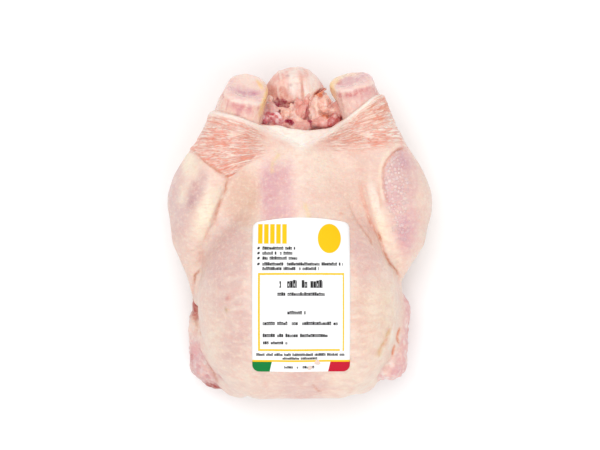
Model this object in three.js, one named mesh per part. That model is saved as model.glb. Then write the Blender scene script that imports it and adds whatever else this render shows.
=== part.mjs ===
// A whole raw chicken, plucked and drawn, lying on its back with a paper label on its breast.
// Millimetres. +X is the right of the bird as seen from above, +Y its tail end and +Z up; the back
// rests on z = 0. The bird is one solid: a distance field is blended out of its anatomy and
// then meshed. The label is a second, thin solid that lies on the breast.

import * as THREE from "three";

// ---------------------------------------------------------------- driving dimensions
const SIDES = [-1, 1]; // left, right
const BREAST = { half: 33, y: -55, z: 52, radii: [42, 66, 45] }; // each breast lobe, out from the keel
const BODY_OFFSET = -3.5; // the breast lies a little to the left of the tail
const KNEE_X = 72.2; // centre of the thick end of each drumstick
const HOCK = { x: 41, y: 100, z: 66, radius: 16.5 }; // the bare joint at the end of each leg
const VENT = { x: -2, y: 27, z: 43, radii: [37, 69, 24] }; // the hollow inside, open at the tail end
const SKIN = 2.6; // how far the skin stands over what it is folded across
const SETTLED = 0.7; // the back is flat where it would come this near to what it lies on
const LABEL = { x: 0.8, tail: 6.2, neck: -102.4, width: 70.6, corner: 5, rise: 3, thick: 0.5, gap: 0.6 };

// The mesh: cell sizes of the grid that the surface is found on, which narrows towards the tail.
const CELL = { x: 7.0, neck: 7.2, tail: 4.6, z: 6.2 };
const TAPER = { x: 0.64, z: 0.76, from: 15, to: 95 };
const REACH = { x: 119, neck: -141, tail: 133, floor: -10, top: 112 };
const FAIRING_ROUNDS = 6;
const SMOOTHING = [0.5, -0.53, 0.5, -0.53]; // shares of a move to the neighbours' mean, in turn

// ---------------------------------------------------------------- distance fields
// A form is a function of x, y, z that gives the distance outside its surface, below 0 inside.

function egg(centre, radii, { yaw = 0, pitch = 0, roll = 0 } = {}) {
  const angles = [pitch, roll, yaw].map(THREE.MathUtils.degToRad);
  const turn = new THREE.Matrix4().makeRotationFromEuler(new THREE.Euler(...angles, "ZXY"));
  const m = turn.transpose().elements;
  const [a, b, c] = radii;
  return (x, y, z) => {
    const [dx, dy, dz] = [x - centre[0], y - centre[1], z - centre[2]];
    const u = (m[0] * dx + m[4] * dy + m[8] * dz) / a;
    const v = (m[1] * dx + m[5] * dy + m[9] * dz) / b;
    const w = (m[2] * dx + m[6] * dy + m[10] * dz) / c;
    const k = Math.hypot(u, v, w);
    return (k * (k - 1)) / Math.max(Math.hypot(u / a, v / b, w / c), 1e-6);
  };
}

// The distance to a chain of points, and the share of the chain passed there.
function along(points, flat = false) {
  const parts = points.slice(1).map((end, i) => {
    const start = points[i];
    const run = end.map((value, axis) => value - start[axis]);
    return { start, run, square: run.reduce((sum, value) => sum + value * value, 0) };
  });
  return (x, y, z) => {
    const at = flat ? [x, y] : [x, y, z];
    let best = { distance: Infinity, share: 0 };
    parts.forEach(({ start, run, square }, i) => {
      const dot = run.reduce((sum, value, axis) => sum + value * (at[axis] - start[axis]), 0);
      const t = THREE.MathUtils.clamp(dot / square, 0, 1);
      const distance = Math.hypot(...run.map((value, axis) => at[axis] - start[axis] - t * value));
      if (distance < best.distance) best = { distance, share: (i + t) / parts.length };
    });
    return best;
  };
}

// A limb: round in section, its radius changing evenly from one end to the other.
function limb(from, to, r0, r1) {
  const line = along([from, to]);
  return (x, y, z) => {
    const { distance, share } = line(x, y, z);
    return distance - r0 - (r1 - r0) * share;
  };
}

function roll(points, radius) {
  const line = along(points);
  return (x, y, z) => line(x, y, z).distance - radius;
}

const soft = (a, b, width) => {
  const h = Math.max(width - Math.abs(a - b), 0) / width;
  return Math.min(a, b) - (h * h * width) / 4;
};
const carve = (a, b, width) => -soft(-a, b, width);

function join(width, ...forms) {
  return (x, y, z) => forms.map((form) => form(x, y, z)).reduce((a, b) => soft(a, b, width));
}

const ramp = (from, to, value) => THREE.MathUtils.smoothstep((value - from) / (to - from), 0, 1);
const hump = (distance, width) => Math.exp(-((distance / width) ** 2));

// ---------------------------------------------------------------- the anatomy
const mid = (x) => x + BODY_OFFSET;

function torso() {
  const lobes = SIDES.map((s) =>
    egg([mid(s * BREAST.half), BREAST.y, BREAST.z], BREAST.radii, { yaw: s * 4 }),
  );
  const front = egg([mid(0), -62, 48], [62, 62, 38]);
  const keel = limb([mid(0), -88, 74], [mid(2), 50, 60], 17, 12);
  const ribs = egg([mid(0), 0, 38], [56, 84, 34]);
  const back = egg([0, 0, 24], [44, 98, 25]);
  const belly = egg([mid(2), 40, 46], [46, 38, 25]);
  return join(20, join(20, ...lobes, front), keel, ribs, back, belly);
}

function leg(s) {
  const flank = s > 0 ? -41 : -52; // how far the web of skin in front of the knee runs
  const thigh = egg([s * 57.5, 21, 31], [36.5, 61, 25], { yaw: s * 10.5 });
  const drumstick = limb([s * KNEE_X, 10, 47], [s * 46, 87, 60], 24.5, 19);
  const hip = egg([s * 40, 64, 33], [27, 32, 24], { yaw: s * 18 });
  const web = limb([s * 80, -13, 41], [s * 76, flank, 39], 14.5, 3.5);
  return join(15, thigh, drumstick, hip, web);
}

function wing(s) {
  const [elbow, wrist] = s < 0 ? [-70, -100] : [-62, -97];
  const upper = limb([s * 52, -92, 46], [s * 71, elbow - 2, 32], 17, 12);
  const fore = limb([s * 71, elbow, 26], [s * 71, wrist, 22], 12, 12.5);
  const web = egg([s * 60, -84, 27], [17, 26, 13], { yaw: s * 6, roll: s * 18 });
  const tip = limb([s * 61, wrist - 7, 18], [s * 24, -82, 8], 11, 6);
  const thumb = limb([s * 60, -100, 14], [s * 40, -74, 9], 7, 4);
  return join(5, join(7, upper, fore, web), tip, thumb);
}

// The bare hock: a knob cut off square across the joint.
function hock(s) {
  const end = [s * HOCK.x, HOCK.y + s, HOCK.z];
  const shank = limb([s * 43.5, 79, 60], end, HOCK.radius - 1.5, HOCK.radius);
  const face = new THREE.Vector3(s * 0.05, 0.76, 0.65).normalize();
  return (x, y, z) => {
    const beyond = face.dot(new THREE.Vector3(x - end[0], y - end[1], z - end[2])) - 9;
    return carve(shank(x, y, z), -beyond, 6);
  };
}

function tail() {
  const dome = egg([-4, 100, 30], [24, 22, 14.5], { pitch: 10 });
  const point = egg([-4, 108, 27], [15, 14, 10], { pitch: 6 });
  const root = egg([-2, 76, 24], [33, 34, 16]);
  const ridge = limb([-5, 88, 38], [-5, 112, 42], 5, 4);
  return join(9, dome, point, root, ridge);
}

// The neck skin, folded down and under.
function neckSkin() {
  const flap = egg([mid(2), -105, 33], [45, 16, 18], { pitch: -8 });
  const fold = roll([[-36, -109, 26], [-16, -116, 17], [2, -117, 15], [20, -115, 17], [36, -108, 26]], 5);
  return join(6, flap, fold);
}

// Fat and trimmed flesh in the mouth of the hollow: centre, radii and turn of each piece.
const VENT_FLESH = [
  [[-21, 92, 44], [12, 13, 11], 0],
  [[-9, 89, 38], [9, 10, 8], 20],
  [[5, 92, 38], [8, 14, 8], 8],
  [[21, 91, 46], [12, 17, 11], -16],
  [[-10, 103, 41], [16, 9, 8], 8],
];

// Where the skin of the legs ends: two arms that meet in a V over the belly.
function skinEdge(x) {
  const out = Math.abs(x);
  return x > 0 ? 61 + 0.5 * out + 0.0036 * out * out : 62 + 0.62 * out - 0.0035 * out * out;
}

// The creases between the legs and the breast, seen from above.
const CREASE = { depth: 1.8, width: 5 };
const CREASE_ROUTES = [
  [[-51, 39], [-58, 21], [-63, 6], [-71, -12], [-77, -36], [-78, -54]],
  [[37, 44], [42, 30], [53, 4], [65, -24], [73, -34], [77, -46]],
];

// Rolls of fat along the inside of each leg.
const FAT_ROLLS = [
  roll([[-54, 35, 62], [-60, 22, 64], [-65, 6, 62], [-71, -10, 57], [-76, -30, 50]], 5.5),
  roll([[56, 58, 66], [57, 26, 66], [59, 11, 64], [64, -8, 60], [71, -24, 53]], 4.5),
];

function chickenForm() {
  const body = torso();
  const legs = SIDES.map(leg);
  const wings = SIDES.map(wing);
  const neck = neckSkin();
  const rump = tail();
  const hollow = egg([VENT.x, VENT.y, VENT.z], VENT.radii);
  const mouth = egg([-3, 103, 63], [23, 26, 23]);
  const flesh = join(4, ...VENT_FLESH.map(([centre, radii, yaw]) => egg(centre, radii, { yaw })));
  const hocks = SIDES.map(hock);
  const creases = CREASE_ROUTES.map((route) => along(route, true));
  const least = (forms, x, y, z) => Math.min(...forms.map((form) => form(x, y, z)));

  return (x, y, z) => {
    let d = body(x, y, z);
    d = soft(d, least(legs, x, y, z), 10 + 10 * ramp(0, 60, y));
    for (const fat of FAT_ROLLS) d = soft(d, fat(x, y, z), 7);
    d = soft(d, least(wings, x, y, z), 7);
    d = soft(d, neck(x, y, z), 7);
    const upper = ramp(34, 48, z);
    for (const crease of creases) {
      const { distance, share } = crease(x, y, z);
      const fade = ramp(0, 0.12, share) * ramp(1, 0.9, share);
      d += CREASE.depth * hump(distance, CREASE.width) * upper * fade;
    }
    d -= SKIN * ramp(1.2, -1.2, y - skinEdge(x)) * ramp(36, 50, z);
    d = carve(d, mouth(x, y, z), 4);
    d = soft(d, rump(x, y, z), 8);
    d = carve(d, hollow(x, y, z), 5);
    d = soft(d, flesh(x, y, z), 4);
    d = soft(d, least(hocks, x, y, z), 2.5);
    return carve(d, z, 3);
  };
}

// ---------------------------------------------------------------- meshing
function gridLines() {
  const even = (from, to, size) => {
    const count = Math.round((to - from) / size);
    return Array.from({ length: count + 1 }, (_, i) => from + ((to - from) * i) / count);
  };
  const ys = [REACH.neck];
  while (ys.at(-1) < REACH.tail) {
    ys.push(ys.at(-1) + THREE.MathUtils.lerp(CELL.neck, CELL.tail, ramp(0, 60, ys.at(-1))));
  }
  return [even(-REACH.x, REACH.x, CELL.x), ys, even(REACH.floor, REACH.top, CELL.z)];
}

function nodeAt(lines, i, j, k) {
  const y = lines[1][j];
  const share = ramp(TAPER.from, TAPER.to, y);
  const [wide, high] = [TAPER.x, TAPER.z].map((least) => THREE.MathUtils.lerp(1, least, share));
  return new THREE.Vector3(lines[0][i] * wide, y, lines[2][k] * high);
}

const CORNERS = [0, 1, 2, 3, 4, 5, 6, 7].map((bits) => [bits & 1, (bits >> 1) & 1, bits >> 2]);

// The form sampled on the grid, its weakest samples flipped until no face or cell of the grid is
// crossed twice, so that the mesh is closed and never touches itself.
function sample(form, lines) {
  const [nx, ny, nz] = lines.map((line) => line.length);
  const index = (i, j, k) => (i * ny + j) * nz + k;
  const values = new Float64Array(nx * ny * nz);
  for (let i = 0; i < nx; i++)
    for (let j = 0; j < ny; j++)
      for (let k = 0; k < nz; k++) values[index(i, j, k)] = form(...nodeAt(lines, i, j, k));
  const step = [ny * nz, nz, 1];
  const weaken = (spots) => {
    const weakest = spots.reduce((a, b) => (Math.abs(values[a]) < Math.abs(values[b]) ? a : b));
    values[weakest] = values[weakest] < 0 ? 1e-3 : -1e-3;
  };
  const inside = (spot) => values[spot] < 0;
  for (let changed = true; changed; ) {
    changed = false;
    for (let i = 0; i < nx - 1; i++)
      for (let j = 0; j < ny - 1; j++)
        for (let k = 0; k < nz - 1; k++) {
          const cell = CORNERS.map(([a, b, c]) => index(i, j, k) + a * step[0] + b * step[1] + c);
          const pairs = [0, 1, 2, 3].map((n) => [cell[n], cell[7 - n]]);
          for (const [a, b] of pairs) {
            const alone = cell.filter((spot) => inside(spot) === inside(a));
            if (inside(a) === inside(b) && alone.length === 2) {
              weaken([a, b]);
              changed = true;
            }
          }
          for (const [u, v] of [[0, 1], [0, 2], [1, 2]]) {
            const face = [0, step[u], step[u] + step[v], step[v]].map((n) => cell[0] + n);
            const sides = face.map(inside);
            if (sides[0] === sides[2] && sides[1] === sides[3] && sides[0] !== sides[1]) {
              weaken(face);
              changed = true;
            }
          }
        }
  }
  return { values, index, step, size: [nx, ny, nz] };
}

// One point in each cell that the surface passes, and one square across each grid edge it cuts.
function surfaceOf(form) {
  const lines = gridLines();
  const { values, index, step, size } = sample(form, lines);
  const [nx, ny, nz] = size;
  const points = [];
  const pointOf = new Map();
  for (let i = 0; i < nx - 1; i++)
    for (let j = 0; j < ny - 1; j++)
      for (let k = 0; k < nz - 1; k++) {
        const sum = new THREE.Vector3();
        let cuts = 0;
        for (const corner of CORNERS)
          for (let axis = 0; axis < 3; axis++) {
            if (corner[axis]) continue;
            const from = [i + corner[0], j + corner[1], k + corner[2]];
            const a = values[index(...from)];
            const b = values[index(...from) + step[axis]];
            if (a < 0 === b < 0) continue;
            const to = from.with(axis, from[axis] + 1);
            sum.add(nodeAt(lines, ...from).lerp(nodeAt(lines, ...to), a / (a - b)));
            cuts += 1;
          }
        if (!cuts) continue;
        pointOf.set(index(i, j, k), points.length);
        points.push(sum.divideScalar(cuts));
      }

  const squares = [];
  for (let i = 1; i < nx - 1; i++)
    for (let j = 1; j < ny - 1; j++)
      for (let k = 1; k < nz - 1; k++)
        for (let axis = 0; axis < 3; axis++) {
          const here = index(i, j, k);
          const [u, v] = [step[(axis + 1) % 3], step[(axis + 2) % 3]];
          const starts = values[here] < 0;
          if (starts === values[here + step[axis]] < 0) continue;
          const ring = [here - u - v, here - v, here, here - u].map((cell) => pointOf.get(cell));
          squares.push(starts ? ring : ring.reverse());
        }
  return { points, squares };
}

// Evens the mesh out along the surface, putting each point back on the form, then calms what is
// left of the noise in the creases, which are narrower than a cell.
function fair(form, points, squares) {
  const near = points.map(() => new Set());
  for (const ring of squares)
    ring.forEach((point, n) => near[point].add(ring[(n + 1) % 4]).add(ring[(n + 3) % 4]));
  const nudge = 0.4;
  const moved = (share) =>
    points.map((point, n) => {
      const mean = new THREE.Vector3();
      for (const other of near[n]) mean.add(points[other]);
      return point.clone().lerp(mean.divideScalar(near[n].size), share);
    });
  for (let round = 0; round < FAIRING_ROUNDS; round++)
    moved(0.5).forEach((point, n) => {
      const { x, y, z } = point;
      const slope = new THREE.Vector3(
        form(x + nudge, y, z) - form(x - nudge, y, z),
        form(x, y + nudge, z) - form(x, y - nudge, z),
        form(x, y, z + nudge) - form(x, y, z - nudge),
      ).divideScalar(2 * nudge);
      const reach = THREE.MathUtils.clamp(form(x, y, z) / Math.max(slope.length(), 0.5), -2, 2);
      points[n].copy(point.addScaledVector(slope.normalize(), -reach));
    });
  for (const share of SMOOTHING) moved(share).forEach((point, n) => points[n].copy(point));
}

function meshOf(name, points, triangles, look) {
  const geometry = new THREE.BufferGeometry().setFromPoints(points);
  geometry.setIndex(triangles);
  geometry.computeVertexNormals();
  const mesh = new THREE.Mesh(geometry, new THREE.MeshStandardMaterial(look));
  mesh.name = name;
  return mesh;
}

// The shorter way across each square keeps the faceting even.
function split(points, [a, b, c, d]) {
  const across = points[a].distanceTo(points[c]) <= points[b].distanceTo(points[d]);
  return across ? [a, b, c, a, c, d] : [a, b, d, b, c, d];
}

function chicken(form) {
  const { points, squares } = surfaceOf(form);
  fair(form, points, squares);
  for (const point of points) point.z = point.z < SETTLED ? 0 : point.z;
  const triangles = squares.flatMap((ring) => split(points, ring));
  return meshOf("chicken", points, triangles, { color: 0xeccabb, roughness: 0.42, metalness: 0 });
}

// ---------------------------------------------------------------- the label
// A slip with rounded corners and an arched head, curved as the breast under it is.
function label(form) {
  const { corner, width, tail: head, neck: foot, rise, thick, gap } = LABEL;
  const skinAt = (x, y) => {
    let z = REACH.top;
    while (form(x, y, z) > 1e-3) z -= Math.max(form(x, y, z) / 2, 1e-3);
    return z;
  };
  const rows = [];
  const arc = [0, 1, 2, 3].map((n) => (n * Math.PI) / 6);
  arc.forEach((angle) => rows.push({ down: corner * (1 - Math.cos(angle)), inset: corner * (1 - Math.sin(angle)) }));
  const ends = rows.slice();
  const length = head - foot;
  const straight = 14;
  for (let n = 1; n < straight; n++) rows.push({ down: corner + ((length - 2 * corner) * n) / straight, inset: 0 });
  ends.reverse().forEach(({ down, inset }) => rows.push({ down: length - down, inset }));

  const columns = 12;
  const faces = [[], []];
  for (const { down, inset } of rows)
    for (let n = 0; n <= columns; n++) {
      const across = (2 * n) / columns - 1;
      const x = LABEL.x + across * (width / 2 - inset);
      const y = head - down + rise * (1 - across * across) * (1 - down / length);
      const z = skinAt(x, y) + gap;
      faces[0].push(new THREE.Vector3(x, y, z));
      faces[1].push(new THREE.Vector3(x, y, z + thick));
    }
  const span = columns + 1;
  const points = faces.flat();
  const above = faces[0].length;
  const triangles = [];
  for (let r = 0; r < rows.length - 1; r++)
    for (let n = 0; n < columns; n++) {
      const ring = [r * span + n, (r + 1) * span + n, (r + 1) * span + n + 1, r * span + n + 1];
      triangles.push(...split(points, ring.map((point) => point + above)));
      triangles.push(...split(points, ring).reverse());
    }
  const rim = [
    ...Array.from({ length: rows.length - 1 }, (_, r) => r * span),
    ...Array.from({ length: columns }, (_, n) => (rows.length - 1) * span + n),
    ...Array.from({ length: rows.length - 1 }, (_, r) => (rows.length - 1 - r) * span + columns),
    ...Array.from({ length: columns }, (_, n) => columns - n),
  ];
  rim.forEach((point, n) => {
    const next = rim[(n + 1) % rim.length];
    triangles.push(point, next, next + above, point, next + above, point + above);
  });
  return meshOf("label", points, triangles, { color: 0xf6f4f0, roughness: 0.5, metalness: 0 });
}

// ---------------------------------------------------------------- the bird
const form = chickenForm();
const bird = new THREE.Group();
bird.add(chicken(form), label(form));

// The frame: the middle of the footprint, on the surface that the back rests on.
const box = new THREE.Box3().setFromObject(bird);
const middle = box.getCenter(new THREE.Vector3());
bird.position.set(-middle.x, -middle.y, -box.min.z);

export default bird;
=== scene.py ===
import math

import bpy
import numpy as np
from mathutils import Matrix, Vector


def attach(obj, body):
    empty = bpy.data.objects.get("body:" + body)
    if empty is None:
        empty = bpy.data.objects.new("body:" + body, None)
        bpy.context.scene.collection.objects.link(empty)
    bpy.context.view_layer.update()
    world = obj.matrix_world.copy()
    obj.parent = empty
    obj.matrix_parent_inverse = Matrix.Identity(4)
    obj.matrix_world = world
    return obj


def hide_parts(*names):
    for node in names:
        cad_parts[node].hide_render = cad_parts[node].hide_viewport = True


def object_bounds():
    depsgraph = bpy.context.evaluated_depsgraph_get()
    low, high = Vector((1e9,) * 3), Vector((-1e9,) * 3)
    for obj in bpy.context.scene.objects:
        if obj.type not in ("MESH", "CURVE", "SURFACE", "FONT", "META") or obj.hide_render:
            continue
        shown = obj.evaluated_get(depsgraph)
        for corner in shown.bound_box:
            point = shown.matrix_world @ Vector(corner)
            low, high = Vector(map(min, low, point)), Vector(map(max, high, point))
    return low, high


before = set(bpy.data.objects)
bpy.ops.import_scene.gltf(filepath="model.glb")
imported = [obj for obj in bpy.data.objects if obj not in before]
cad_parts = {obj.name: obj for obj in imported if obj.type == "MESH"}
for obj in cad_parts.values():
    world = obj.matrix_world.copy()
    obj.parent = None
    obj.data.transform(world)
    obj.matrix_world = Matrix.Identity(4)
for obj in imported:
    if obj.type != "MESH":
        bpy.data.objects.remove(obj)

# A whole raw chicken on its back, with a label on its breast. The bird is blended out of its anatomy as
# a distance field in millimetres, below 0 inside, meshed finely and then given its wrinkles, folds and
# pores. Its own frame has +Y to the tail and +Z up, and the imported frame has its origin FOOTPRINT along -Y.

CAD_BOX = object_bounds()
MM = 0.001
FOOTPRINT = 1.829  # from the bird's own origin to the middle of its footprint
SIDES = (-1, 1)  # left, right

# ------------------------------------------------------------------ the bird's sizes, in millimetres
BREAST_HALF, BREAST_Y, BREAST_Z, BREAST_RADII = 33, -55, 52, (42, 66, 45)
BODY_OFFSET = -3.5  # how far to the side the keel lies
KNEE_X = 72.2
FLESH_FLOOR, HOCK_FLOOR = 43, 49  # how deep the opening is cut, between the hocks and under them
CAVITY = ((-2, 27, 43), (37, 69, 24))  # centre and radii of the hollow inside
SKIN = 1.7  # how thick the skin of the legs lies on the rest
SETTLED = 0.7  # the back is flat where it would come this near to what it lies on
LABEL_X, LABEL_TAIL, LABEL_NECK, LABEL_WIDTH = 0.8, 6.2, -102.4, 70.6
LABEL_CORNER, LABEL_RISE, LABEL_THICK, LABEL_GAP = 5, 3, 0.2, 0.42
LABEL_STEPS, LABEL_COLUMNS, CORNER_STEPS = 48, 34, 9  # how finely the slip is divided
CELL, FINE_CELL = ((0.85, 0.5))  # the grids of the bird and of its bare pieces
CLEANUPS = 30  # the most rounds in which a grid is cleared of pinched places
# The boxes that the grids cover, each from its low corner to its high one.
BIRD_BOX = ((-106, -134, -4), (106, 130, 106))
FLESH_BOX = ((-39, 62, 20), (40, 116, 65))
HOCK_BOX = {-1: ((-69, 70, 36), (-20, 124, 92)), 1: ((20, 70, 36), (69, 124, 92))}
MOST_TRIANGLES, MOST_ON_HOCK, MOST_ON_FLESH = 190_000, 40_000, 90_000


# ------------------------------------------------------------------ small numeric tools
def ramp(start, end, value):
    t = np.clip((value - start) / (end - start), 0, 1)
    return t * t * (3 - 2 * t)


def hump(distance, width):
    return np.exp(-((distance / width) ** 2))


def soft(a, b, width):
    h = np.maximum(width - np.abs(a - b), 0) / width
    return np.minimum(a, b) - h * h * width / 4


def carve(a, b, width):
    return -soft(-a, b, width)


def meet(a, b, width):
    return -soft(-a, -b, width)


def unit(v):
    return np.array(v, float) / np.linalg.norm(v)


def lattice_value(ix, iy, iz, seed):
    n = ix * 374761393 + iy * 668265263 + iz * 2246822519 + seed * 3266489917
    n = (n ^ (n >> 13)) * 1274126177
    return ((n ^ (n >> 16)) & 0xFFFF) / 65535


def noise(x, y, z, seed):
    """Smooth noise between -1 and 1, one bump to a unit of length."""
    cell = [np.floor(v).astype(np.int64) for v in (x, y, z)]
    part = [v - c for v, c in zip((x, y, z), cell)]
    ease = [t * t * (3 - 2 * t) for t in part]
    total = 0
    for corner in range(8):
        bits = [(corner >> axis) & 1 for axis in range(3)]
        weight = 1
        for e, bit in zip(ease, bits):
            weight = weight * (e if bit else 1 - e)
        total = total + weight * lattice_value(*(c + bit for c, bit in zip(cell, bits)), seed)
    return 2 * total - 1


def mottle(p, size, seed, rounds=3):
    """Noise in rounds, each half as large and half as strong as the last."""
    total, most = 0, 0
    for n in range(rounds):
        scale, strength = size / 2**n, 0.5**n
        total = total + strength * noise(p[0] / scale, p[1] / scale, p[2] / scale, seed + n)
        most += strength
    return total / most


# ------------------------------------------------------------------ forms
def egg(centre, radii, yaw=0, pitch=0, roll=0):
    a, b, c = np.radians([yaw, pitch, roll])
    about_z = np.array([[np.cos(a), -np.sin(a), 0], [np.sin(a), np.cos(a), 0], [0, 0, 1]])
    about_x = np.array([[1, 0, 0], [0, np.cos(b), -np.sin(b)], [0, np.sin(b), np.cos(b)]])
    about_y = np.array([[np.cos(c), 0, np.sin(c)], [0, 1, 0], [-np.sin(c), 0, np.cos(c)]])
    turn = (about_z @ about_x @ about_y).astype(np.float32)

    def form(p):
        q = [p[i] - np.float32(centre[i]) for i in range(3)]
        if yaw or pitch or roll:
            q = [turn[0, i] * q[0] + turn[1, i] * q[1] + turn[2, i] * q[2] for i in range(3)]
        near = np.sqrt(sum((q[i] / np.float32(radii[i])) ** 2 for i in range(3)))
        slope = np.sqrt(sum((q[i] / np.float32(radii[i] ** 2)) ** 2 for i in range(3)))
        return near * (near - 1) / np.maximum(slope, 1e-6)

    return form


def along(points, flat=False):
    """The distance to a chain of points, and the share of the chain passed there."""
    axes = (0, 1) if flat else (0, 1, 2)
    points = np.array(points, np.float32)[:, : len(axes)]

    def measure(p):
        best = share = None
        for n, (start, end) in enumerate(zip(points[:-1], points[1:])):
            run = end - start
            q = [p[axis] - start[i] for i, axis in enumerate(axes)]
            t = np.clip(sum(d * r for d, r in zip(q, run)) / (run @ run), 0, 1)
            far = np.sqrt(sum((d - t * r) ** 2 for d, r in zip(q, run)))
            passed = (n + t) / (len(points) - 1)
            if best is None:
                best, share = far, passed
            else:
                nearer = far < best
                best, share = np.where(nearer, far, best), np.where(nearer, passed, share)
        return best, share

    return measure


def limb(start, end, r0, r1):
    line = along([start, end])

    def form(p):
        far, share = line(p)
        return far - r0 - (r1 - r0) * share

    return form


def tube(points, radius):
    line = along(points)
    return lambda p: line(p)[0] - radius


def join(width, *forms):
    def form(p):
        d = forms[0](p)
        for other in forms[1:]:
            d = soft(d, other(p), width)
        return d

    return form


def nearest(forms, p):
    d = forms[0](p)
    for other in forms[1:]:
        d = np.minimum(d, other(p))
    return d


def off_keel(x):
    return x + BODY_OFFSET


# ------------------------------------------------------------------ the anatomy
def torso():
    left_lobe = egg((off_keel(-BREAST_HALF) + 3.5, BREAST_Y, BREAST_Z), (40.5, 66, 45), yaw=1)
    right_lobe = egg((off_keel(BREAST_HALF), BREAST_Y, BREAST_Z), BREAST_RADII, yaw=-1)
    front = egg((off_keel(2), -62, 48), (60, 62, 38))
    keel = limb((off_keel(0), -88, 74), (off_keel(2), 50, 60), 17, 12)
    ribs = egg((off_keel(0), 0, 38), (56, 84, 34))
    back = egg((0, 0, 24), (44, 98, 25))
    belly = egg((off_keel(2), 40, 46), (46, 38, 25))
    return join(20, join(20, left_lobe, right_lobe, front), keel, ribs, back, belly)


# Of each leg: the fold of flank before it, its calf's radii and its ankle.
FLANK = {-1: ((-79, -10, 42), (-76.5, -52, 39), 12, 3.5), 1: ((75, -10, 42), (72.5, -41, 39), 12, 3)}
CALF = {-1: (17, 22, 18), 1: (15.5, 22, 18)}
ANKLE = {-1: ((-51, 62, 57), (-42.5, 94, 64.5), 17.5, 17.5), 1: ((54, 62, 57), (43.5, 93, 64.5), 17, 16)}


def leg(s):
    thigh = egg((s * 57.5, 27, 31), (36, 56, 25), yaw=s * 10.5)
    knee = egg((s * 70, 15, 45), (23.5, 31, 24))
    drumstick = limb((s * KNEE_X, 19, 47), (s * 46, 87, 60), 22, 16.5)
    calf = egg((s * 76, 31, 44), CALF[s], yaw=s * 21)
    hip = egg((s * 40, 64, 33), (25, 32, 24), yaw=s * 18)
    return join(15, thigh, join(8, drumstick, knee, calf, limb(*ANKLE[s])), hip, limb(*FLANK[s]))


def wing(s):
    elbow, wrist = ((-72, -76), (-71, -102)) if s < 0 else ((70, -62), (67, -99.5))
    if s < 0:
        upper = limb((-52, -92, 46), (*elbow, 32), 17, 11)
        fore = limb((*elbow, 27), (*wrist, 22), 11.5, 13)
    else:
        upper = limb((49, -90, 42), (*elbow, 36), 14, 11)
        fore = limb((*elbow, 34), (*wrist, 35), 12.5, 13.5)
    web = egg((s * 60, -84, 27), (17, 26, 13), yaw=s * 6, roll=s * 18)
    tip = limb((-64, -109.5, 20) if s < 0 else (61, -100, 20), (s * 24, -82, 8), 11.5, 6)
    thumb = limb((s * 60, -100, 14), (s * 40, -74, 9), 7, 4)
    whole = join(5, join(7, upper, fore, web), tip, thumb)
    return join(5, whole, limb((-76, -44, 32), (-77, -66, 28), 4, 6)) if s < 0 else whole


# The bare joint at the end of each leg: where its shank starts and ends, its radius there, the way its cut
# face looks and how far beyond the end it lies, then the rest of the joint that shows beyond the face.
HOCK_SHANK = {-1: ((-46, 79, 60), (-40.5, 99, 66), 17.2, 15.8), 1: ((50, 79, 61), (41, 101, 66), 16.5, 14.9)}
HOCK_FACE = {-1: ((0.2, 0.82, 0.5), 4), 1: ((-0.2, 0.9, 0.36), 9)}
HOCK_BACK = {-1: ((-38.5, 106.8, 55), (12, 8.6, 9)), 1: ((38.5, 106.6, 61), (13.5, 8, 10))}
HOCK_SQUARE = 3  # 2 would make the shank round, and more makes it squarer
TUCKED = 3.5  # how far the bare joints reach under the skin


def hock_axes(s):
    """The middle of the cut face, then the ways across it, up it and out of it."""
    start, end, _, _ = HOCK_SHANK[s]
    face, beyond = HOCK_FACE[s]
    axis, face = unit(np.subtract(end, start)), unit(face)
    middle = np.array(end) + axis * beyond / (axis @ face)
    side = unit(np.cross(face, [0, 0, 1]))
    return middle, side, np.cross(side, face), face


def dotted(away, way):
    return sum(a * np.float32(w) for a, w in zip(away, way))


def hock(s):
    """The joint at the end of a leg: a squarish knob cut off at a slant, with a narrow rounded rim."""
    start, end, r0, r1 = HOCK_SHANK[s]
    axis = unit(np.subtract(end, start))
    length = np.linalg.norm(np.subtract(end, start))
    side = unit(np.cross(axis, [0, 0, 1]))
    over = np.cross(side, axis)
    middle, _, _, face = hock_axes(s)

    def form(p):
        away = [p[i] - np.float32(start[i]) for i in range(3)]
        h, u, v = dotted(away, axis), dotted(away, side), dotted(away, over)
        radius = r0 + (r1 - r0) * np.clip(h / length, 0, 1)
        trunk = (np.abs(u) ** HOCK_SQUARE + np.abs(v) ** HOCK_SQUARE) ** (1 / HOCK_SQUARE) - radius
        beyond = dotted([p[i] - np.float32(middle[i]) for i in range(3)], face)
        return meet(meet(trunk, beyond, 4), -h - 6, 4)

    return form


def tail():
    dome = egg((-4, 100, 30), (24, 22, 14.5), pitch=10)
    point = egg((-4, 108, 27), (15, 14, 10), pitch=6)
    root = egg((-2, 76, 24), (33, 34, 16))
    ridge = limb((-5, 88, 38), (-5, 112, 42), 5, 4)
    return join(9, dome, point, root, ridge)


def neck_skin():
    flap = egg((off_keel(2), -105, 33), (45, 16, 18), pitch=-8)
    corners = [egg((-46, -110, 32), (17, 16.8, 16)), egg((44, -108, 34), (15.5, 16, 17), yaw=22)]
    fold = [(-36, -109, 26), (-16, -116, 17), (2, -117, 15), (20, -115, 17), (36, -108, 26)]
    return join(6, flap, *corners, tube(fold, 5))


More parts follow.
